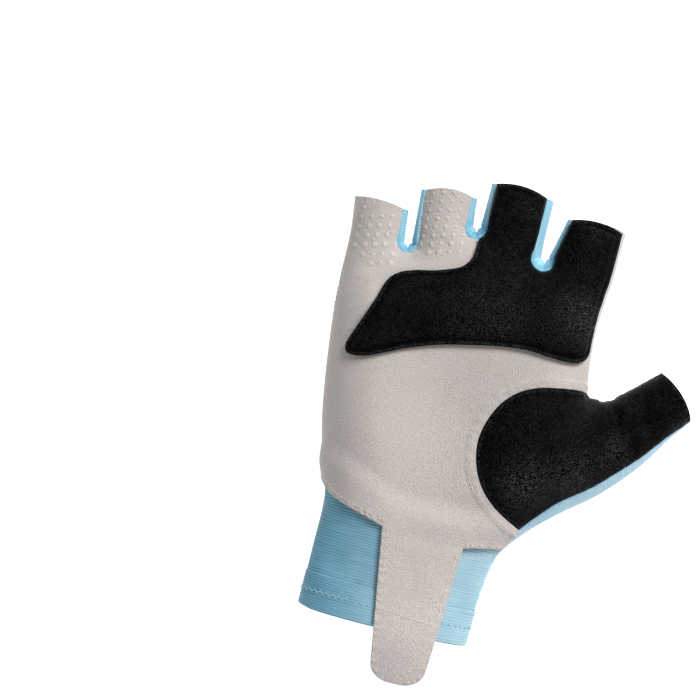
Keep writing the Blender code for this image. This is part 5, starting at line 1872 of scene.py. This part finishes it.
low_left = sideways(bowed(side_corner, left_corner, PALM_LEFT_LOW), 0.0017)[3:-1]
low_right = sideways(bowed(right_corner, heel_corner, PALM_LOW), 0.0013)[1:-1]
left_tab, right_tab = tab_side(left_corner, -1, 0.0017), tab_side(right_corner, 1, 0.0016)
tab_cross = np.array([left_tab[1] + (-0.0012, 0.0012), right_tab[1] + (0.0012, -0.0004)])
cream_lines = [on_cloth(np.vstack([low_left, left_tab]), 1, suede_height),
               on_cloth(np.vstack([low_right[::-1], right_tab]), 1, suede_height),
               on_cloth(sideways(thumb_seam_line(0), -0.0034)[2:-3], 1, suede_height)]
threads("stitches_suede", cream_lines, CREAM_THREAD, STITCHES,
        {"Pitch": 0.00185, "Length": 0.00150, "Width": 0.00030})
threads("stitches_tab", [on_cloth(tab_cross, 1, suede_height)], CREAM_THREAD, STITCHES,
        {"Pitch": 0.00125, "Length": 0.00120, "Width": 0.00036})

# %% Stitches along the wavy side patches and the pad
patch_lines = [on_cloth(run("little", PALM_CORNER + 0.02, 0.99, little_seam, 0.0011), 1, 0.00003),
               on_cloth(run("web", 0.01, WEB_CORNER - 0.01, web_seam, 0.0010), 1, 0.00003)]
threads("stitches_patches", patch_lines, CREAM_THREAD, STITCHES,
        {"Pitch": 0.0017, "Length": 0.0012, "Width": 0.00026})
SEWN_FROM = 0.0056          # the pad's groove starts this far from the strips
groove_line = inset(pad_line, PAD_GROOVE)
away = from_strips(groove_line) > SEWN_FROM
start = int(np.flatnonzero(~away)[-1]) + 1
groove_line, away = np.roll(groove_line, -start, axis=0), np.roll(away, -start)
cuts = np.flatnonzero(np.diff(away.astype(int))) + 1
groove_runs = [part for part, keep in zip(np.split(groove_line, cuts), np.split(away, cuts))
               if keep[0] and len(part) > 4]
in_groove = PAD_CLEARANCE + PAD_EDGE - 0.00012
threads("stitches_pad", [on_cloth(part, 1, in_groove) for part in groove_runs], BLACK_THREAD,
        STITCHES, {"Pitch": 0.0016, "Length": 0.0012, "Width": 0.0003})

# %% Deep blue stitches on the back, beside the strips
back_lines = [on_cloth(run(name, seam=-GUSSET_BACK, shift=-0.0006, side=-1)[2:-2], -1, 0.00004)
              for name in CROTCH_NAMES]
threads("stitches_strips", back_lines, DEEP_THREAD, STITCHES,
        {"Pitch": 0.0014, "Length": 0.0008, "Width": 0.00024})

# %% [markdown]
# ## Zigzag seam of the hem
#
# A zigzag seam holds the hem and stretches with it. Its thread goes in one line from side to side
# of the seam, so it is one long line round the wrist, measured off on the cloth, and a small tree
# gives the line its round thread.

# %% The zigzag
ZIG_Y, ZIG_PITCH, ZIG_REACH = -0.0649, 0.0026, 0.00055


def thread_tree():
    tree = Tree("thread", {"Width": 0.0003, "Material": None})
    line = tree.node("GeometryNodeMeshToCurve", {}, {0: tree.given("Geometry")})
    profile = tree.node("GeometryNodeCurvePrimitiveCircle", {"mode": "RADIUS"}, {
        "Resolution": 6, "Radius": tree.given("Width") * 0.5})
    tube = tree.node("GeometryNodeCurveToMesh", {}, {0: line, 1: profile, "Fill Caps": True})
    return tree.close(tube)


THREAD = thread_tree()


def wrist_ring(y, height):
    """A closed line round the hem."""
    loop, _ = hem_loop(y, height, np.linspace(0, math.pi, 400))
    return np.vstack([loop, loop[:1]])


def zigzag():
    """The thread swings between two lines round the hem, where it is off the floor."""
    _, length = shares(wrist_ring(ZIG_Y, HEM_PROUD))
    steps = np.arange(8 * round(length / ZIG_PITCH))
    swing = 2 * np.abs(2 * ((steps / 8 + 0.25) % 1) - 1) - 1
    low, high = [along(wrist_ring(y, HEM_PROUD + ZIG_LIFT), steps / len(steps))
                 for y in (ZIG_Y - ZIG_REACH, ZIG_Y + ZIG_REACH)]
    points = low + (high - low) * (0.5 + 0.5 * swing)[:, None]
    points = points[points[:, 2] > 0.0014]
    gaps = np.linalg.norm(np.diff(points, axis=0), axis=1) > 0.004
    parts = np.split(points, np.flatnonzero(gaps) + 1)
    return [(part, np.tile((0.0, 0.0, 1.0), (len(part), 1))) for part in parts if len(part) > 3]


threads("zigzag_hem", zigzag(), BLUE_THREAD, THREAD, {"Width": 0.00028})

# %% [markdown]
# ## Silicone dots
#
# Clear silicone dots grip the line on the fronts of the little and the ring finger. They stand on
# a slanted lattice, and only where the print reached. The lattice is a rule, so the points are
# worked out from a pitch and a slope, kept where they fall inside a named area, and Geometry Nodes
# set a flat dome on each.

# %% The dots
Print = namedtuple("Print", "name x y pitch_x pitch_y area")
PRINTS = (
    Print("little", -0.0394, 0.0636, 0.0036, 0.0036,
          ((-0.0480, 0.0590), (-0.0415, 0.0545), (-0.0308, 0.0560), (-0.0308, 0.0690),
           (-0.0345, 0.0765), (-0.0480, 0.0765))),
    Print("ring", -0.0158, 0.0697, 0.0036, 0.00325,
          ((-0.0242, 0.0660), (-0.0170, 0.0650), (-0.0070, 0.0660), (-0.0070, 0.0765),
           (-0.0105, 0.0895), (-0.0242, 0.0895))),
)
SLOPE = 1.0 / 3.6           # the rows rise towards the thumb


def dot_places():
    """Places on the suede and the directions out of it, clear of the piece's edge."""
    places, ups = [], []
    for area in PRINTS:
        spots = np.array([(area.x + i * area.pitch_x,
                           area.y + j * area.pitch_y + i * area.pitch_x * SLOPE)
                          for i in range(-4, 5) for j in range(-8, 9)])
        spots = spots[inside(spots, np.array(area.area)) & inside(spots, palm_line)]
        far, _ = line_distance(palm_line, 1, closed=True)(laid(spots, 1))
        spots = spots[far > 0.0011]
        places.append(laid(spots, 1, suede_height(spots)))
        ups.append(outwards(spots, 1))
    return np.vstack(places), np.vstack(ups)


# %% Tree for the dots
def dot_tree():
    tree = Tree("dots", {"Width": 0.0022, "Height": 0.00040, "Seed": 2, "Material": None})
    spots = tree.node("GeometryNodeMeshToPoints", {}, {0: tree.given("Geometry"), "Radius": 0.001})
    dome = tree.node("GeometryNodeMeshUVSphere", {}, {"Segments": 14, "Rings": 9, "Radius": 0.5})
    turn = tree.node("FunctionNodeAlignRotationToVector", {"axis": "Z"}, {
        "Vector": tree.stored("outward", "FLOAT_VECTOR")})
    wide = tree.given("Width") * tree.random(0.84, 1.08) * tree.stored("share")
    size = tree.node("ShaderNodeCombineXYZ", {}, {0: wide, 1: wide, 2: tree.given("Height")})
    set_down = tree.node("GeometryNodeInstanceOnPoints", {}, {
        "Points": spots, "Instance": dome, "Rotation": turn, "Scale": size})
    return tree.close(set_down)


def silicone_dots():
    """A dome on each place. They get smaller towards the fingertips."""
    spots, ups = dot_places()
    mesh = bpy.data.meshes.new("silicone_dots")
    mesh.from_pydata(spots.tolist(), [], [])
    store(mesh, "outward", ups, "FLOAT_VECTOR")
    store(mesh, "share", 1 - 0.35 * ease(0.060, 0.088, spots[:, 1]))
    dots = worked(placed("silicone_dots", mesh), dot_tree(), {"Material": SILICONE})
    dots.data.shade_smooth()
    print(len(spots), "dots")
    return dots


dots = silicone_dots()
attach(dots, "root")

# %% [markdown]
# ## Floor, light and camera
#
# The photograph is a shop picture on plain white, seen from straight above and turned a little, so
# the fingertips point up and to the left. A pale floor and a pale world give that, one large soft
# light from the upper right shapes the folds, and a weaker one from the other side keeps the
# shadows open. The floor is a light table that glows a little, which keeps the ground white and
# the shadow faint. A long lens from a metre away keeps the sides upright.

# %% Floor
def pale_floor():
    mesh = bpy.data.meshes.new("floor")
    corners = [(x * 2.5, y * 2.5, 0) for x, y in ((-1, -1), (1, -1), (1, 1), (-1, 1))]
    mesh.from_pydata(corners, [], [(0, 1, 2, 3)])
    paint = Finish("floor_white", Roughness=0.9, Specular_IOR_Level=0.1,
                   Emission_Color=(1.0, 1.0, 1.0, 1.0), Emission_Strength=0.92)
    mesh.materials.append(paint.finish((0.60, 0.60, 0.60, 1.0)))
    return placed("floor", mesh)


floor = pale_floor()
floor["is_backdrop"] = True
print("floor of", floor.data.materials[0].name)

# %% Lights
HAND_TURN = math.radians(14)
RIGHT = np.array([math.cos(HAND_TURN), math.sin(HAND_TURN)])
UP = np.array([-math.sin(HAND_TURN), math.cos(HAND_TURN)])


def soft_light(name, right, up, height, size, power):
    """A square light over the glove, placed by how far right and up it is in the picture."""
    lamp = bpy.data.lights.new(name, "AREA")
    lamp.shape, lamp.size, lamp.energy = "SQUARE", size, power
    made = placed(name, lamp)
    made.location = (*(RIGHT * right + UP * up), height)
    made.rotation_euler = made.location.to_track_quat("Z", "Y").to_euler()


soft_light("key", 0.90, 1.05, 1.10, 0.8, 42.0)
soft_light("fill", -0.3, -1.2, 1.1, 1.4, 10.0)
world = bpy.context.scene.world or bpy.data.worlds.new("studio")
bpy.context.scene.world = world
world.use_nodes = True
sky = world.node_tree.nodes["Background"].inputs
sky["Color"].default_value, sky["Strength"].default_value = (1.0, 1.0, 1.0, 1.0), 0.22
bpy.context.scene.view_settings.view_transform = "Standard"     # white stays white
print("two soft lights and a pale world")

# %% Camera
VIEW_MIDDLE = np.array([-0.0389, 0.0238])   # what the picture's middle looks at
VIEW_WIDTH = 0.259                          # metres across the picture
DISTANCE = 1.0
FOCUS_HEIGHT = 0.012                        # the glove's middle height, which the width is at

lens = bpy.data.cameras.new("camera")
lens.sensor_fit = "HORIZONTAL"
lens.lens = lens.sensor_width * DISTANCE / VIEW_WIDTH
lens.clip_start, lens.clip_end = 0.01, 20
camera = placed("camera", lens)
camera.location = (*VIEW_MIDDLE, DISTANCE + FOCUS_HEIGHT)
camera.rotation_euler = (0, 0, HAND_TURN)
bpy.context.scene.camera = camera
print(f"lens {lens.lens:.0f} mm")

# %% Sizes and end
VISUAL_BOX = [[float(v) for v in corner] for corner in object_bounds()]
for side, corner in zip(("low", "high"), range(2)):
    grown = [round((v - c) * 1000, 1) for v, c in zip(VISUAL_BOX[corner], CAD_BOX[corner])]
    print(f"visual box against CAD box, {side} corner, mm: {grown}")
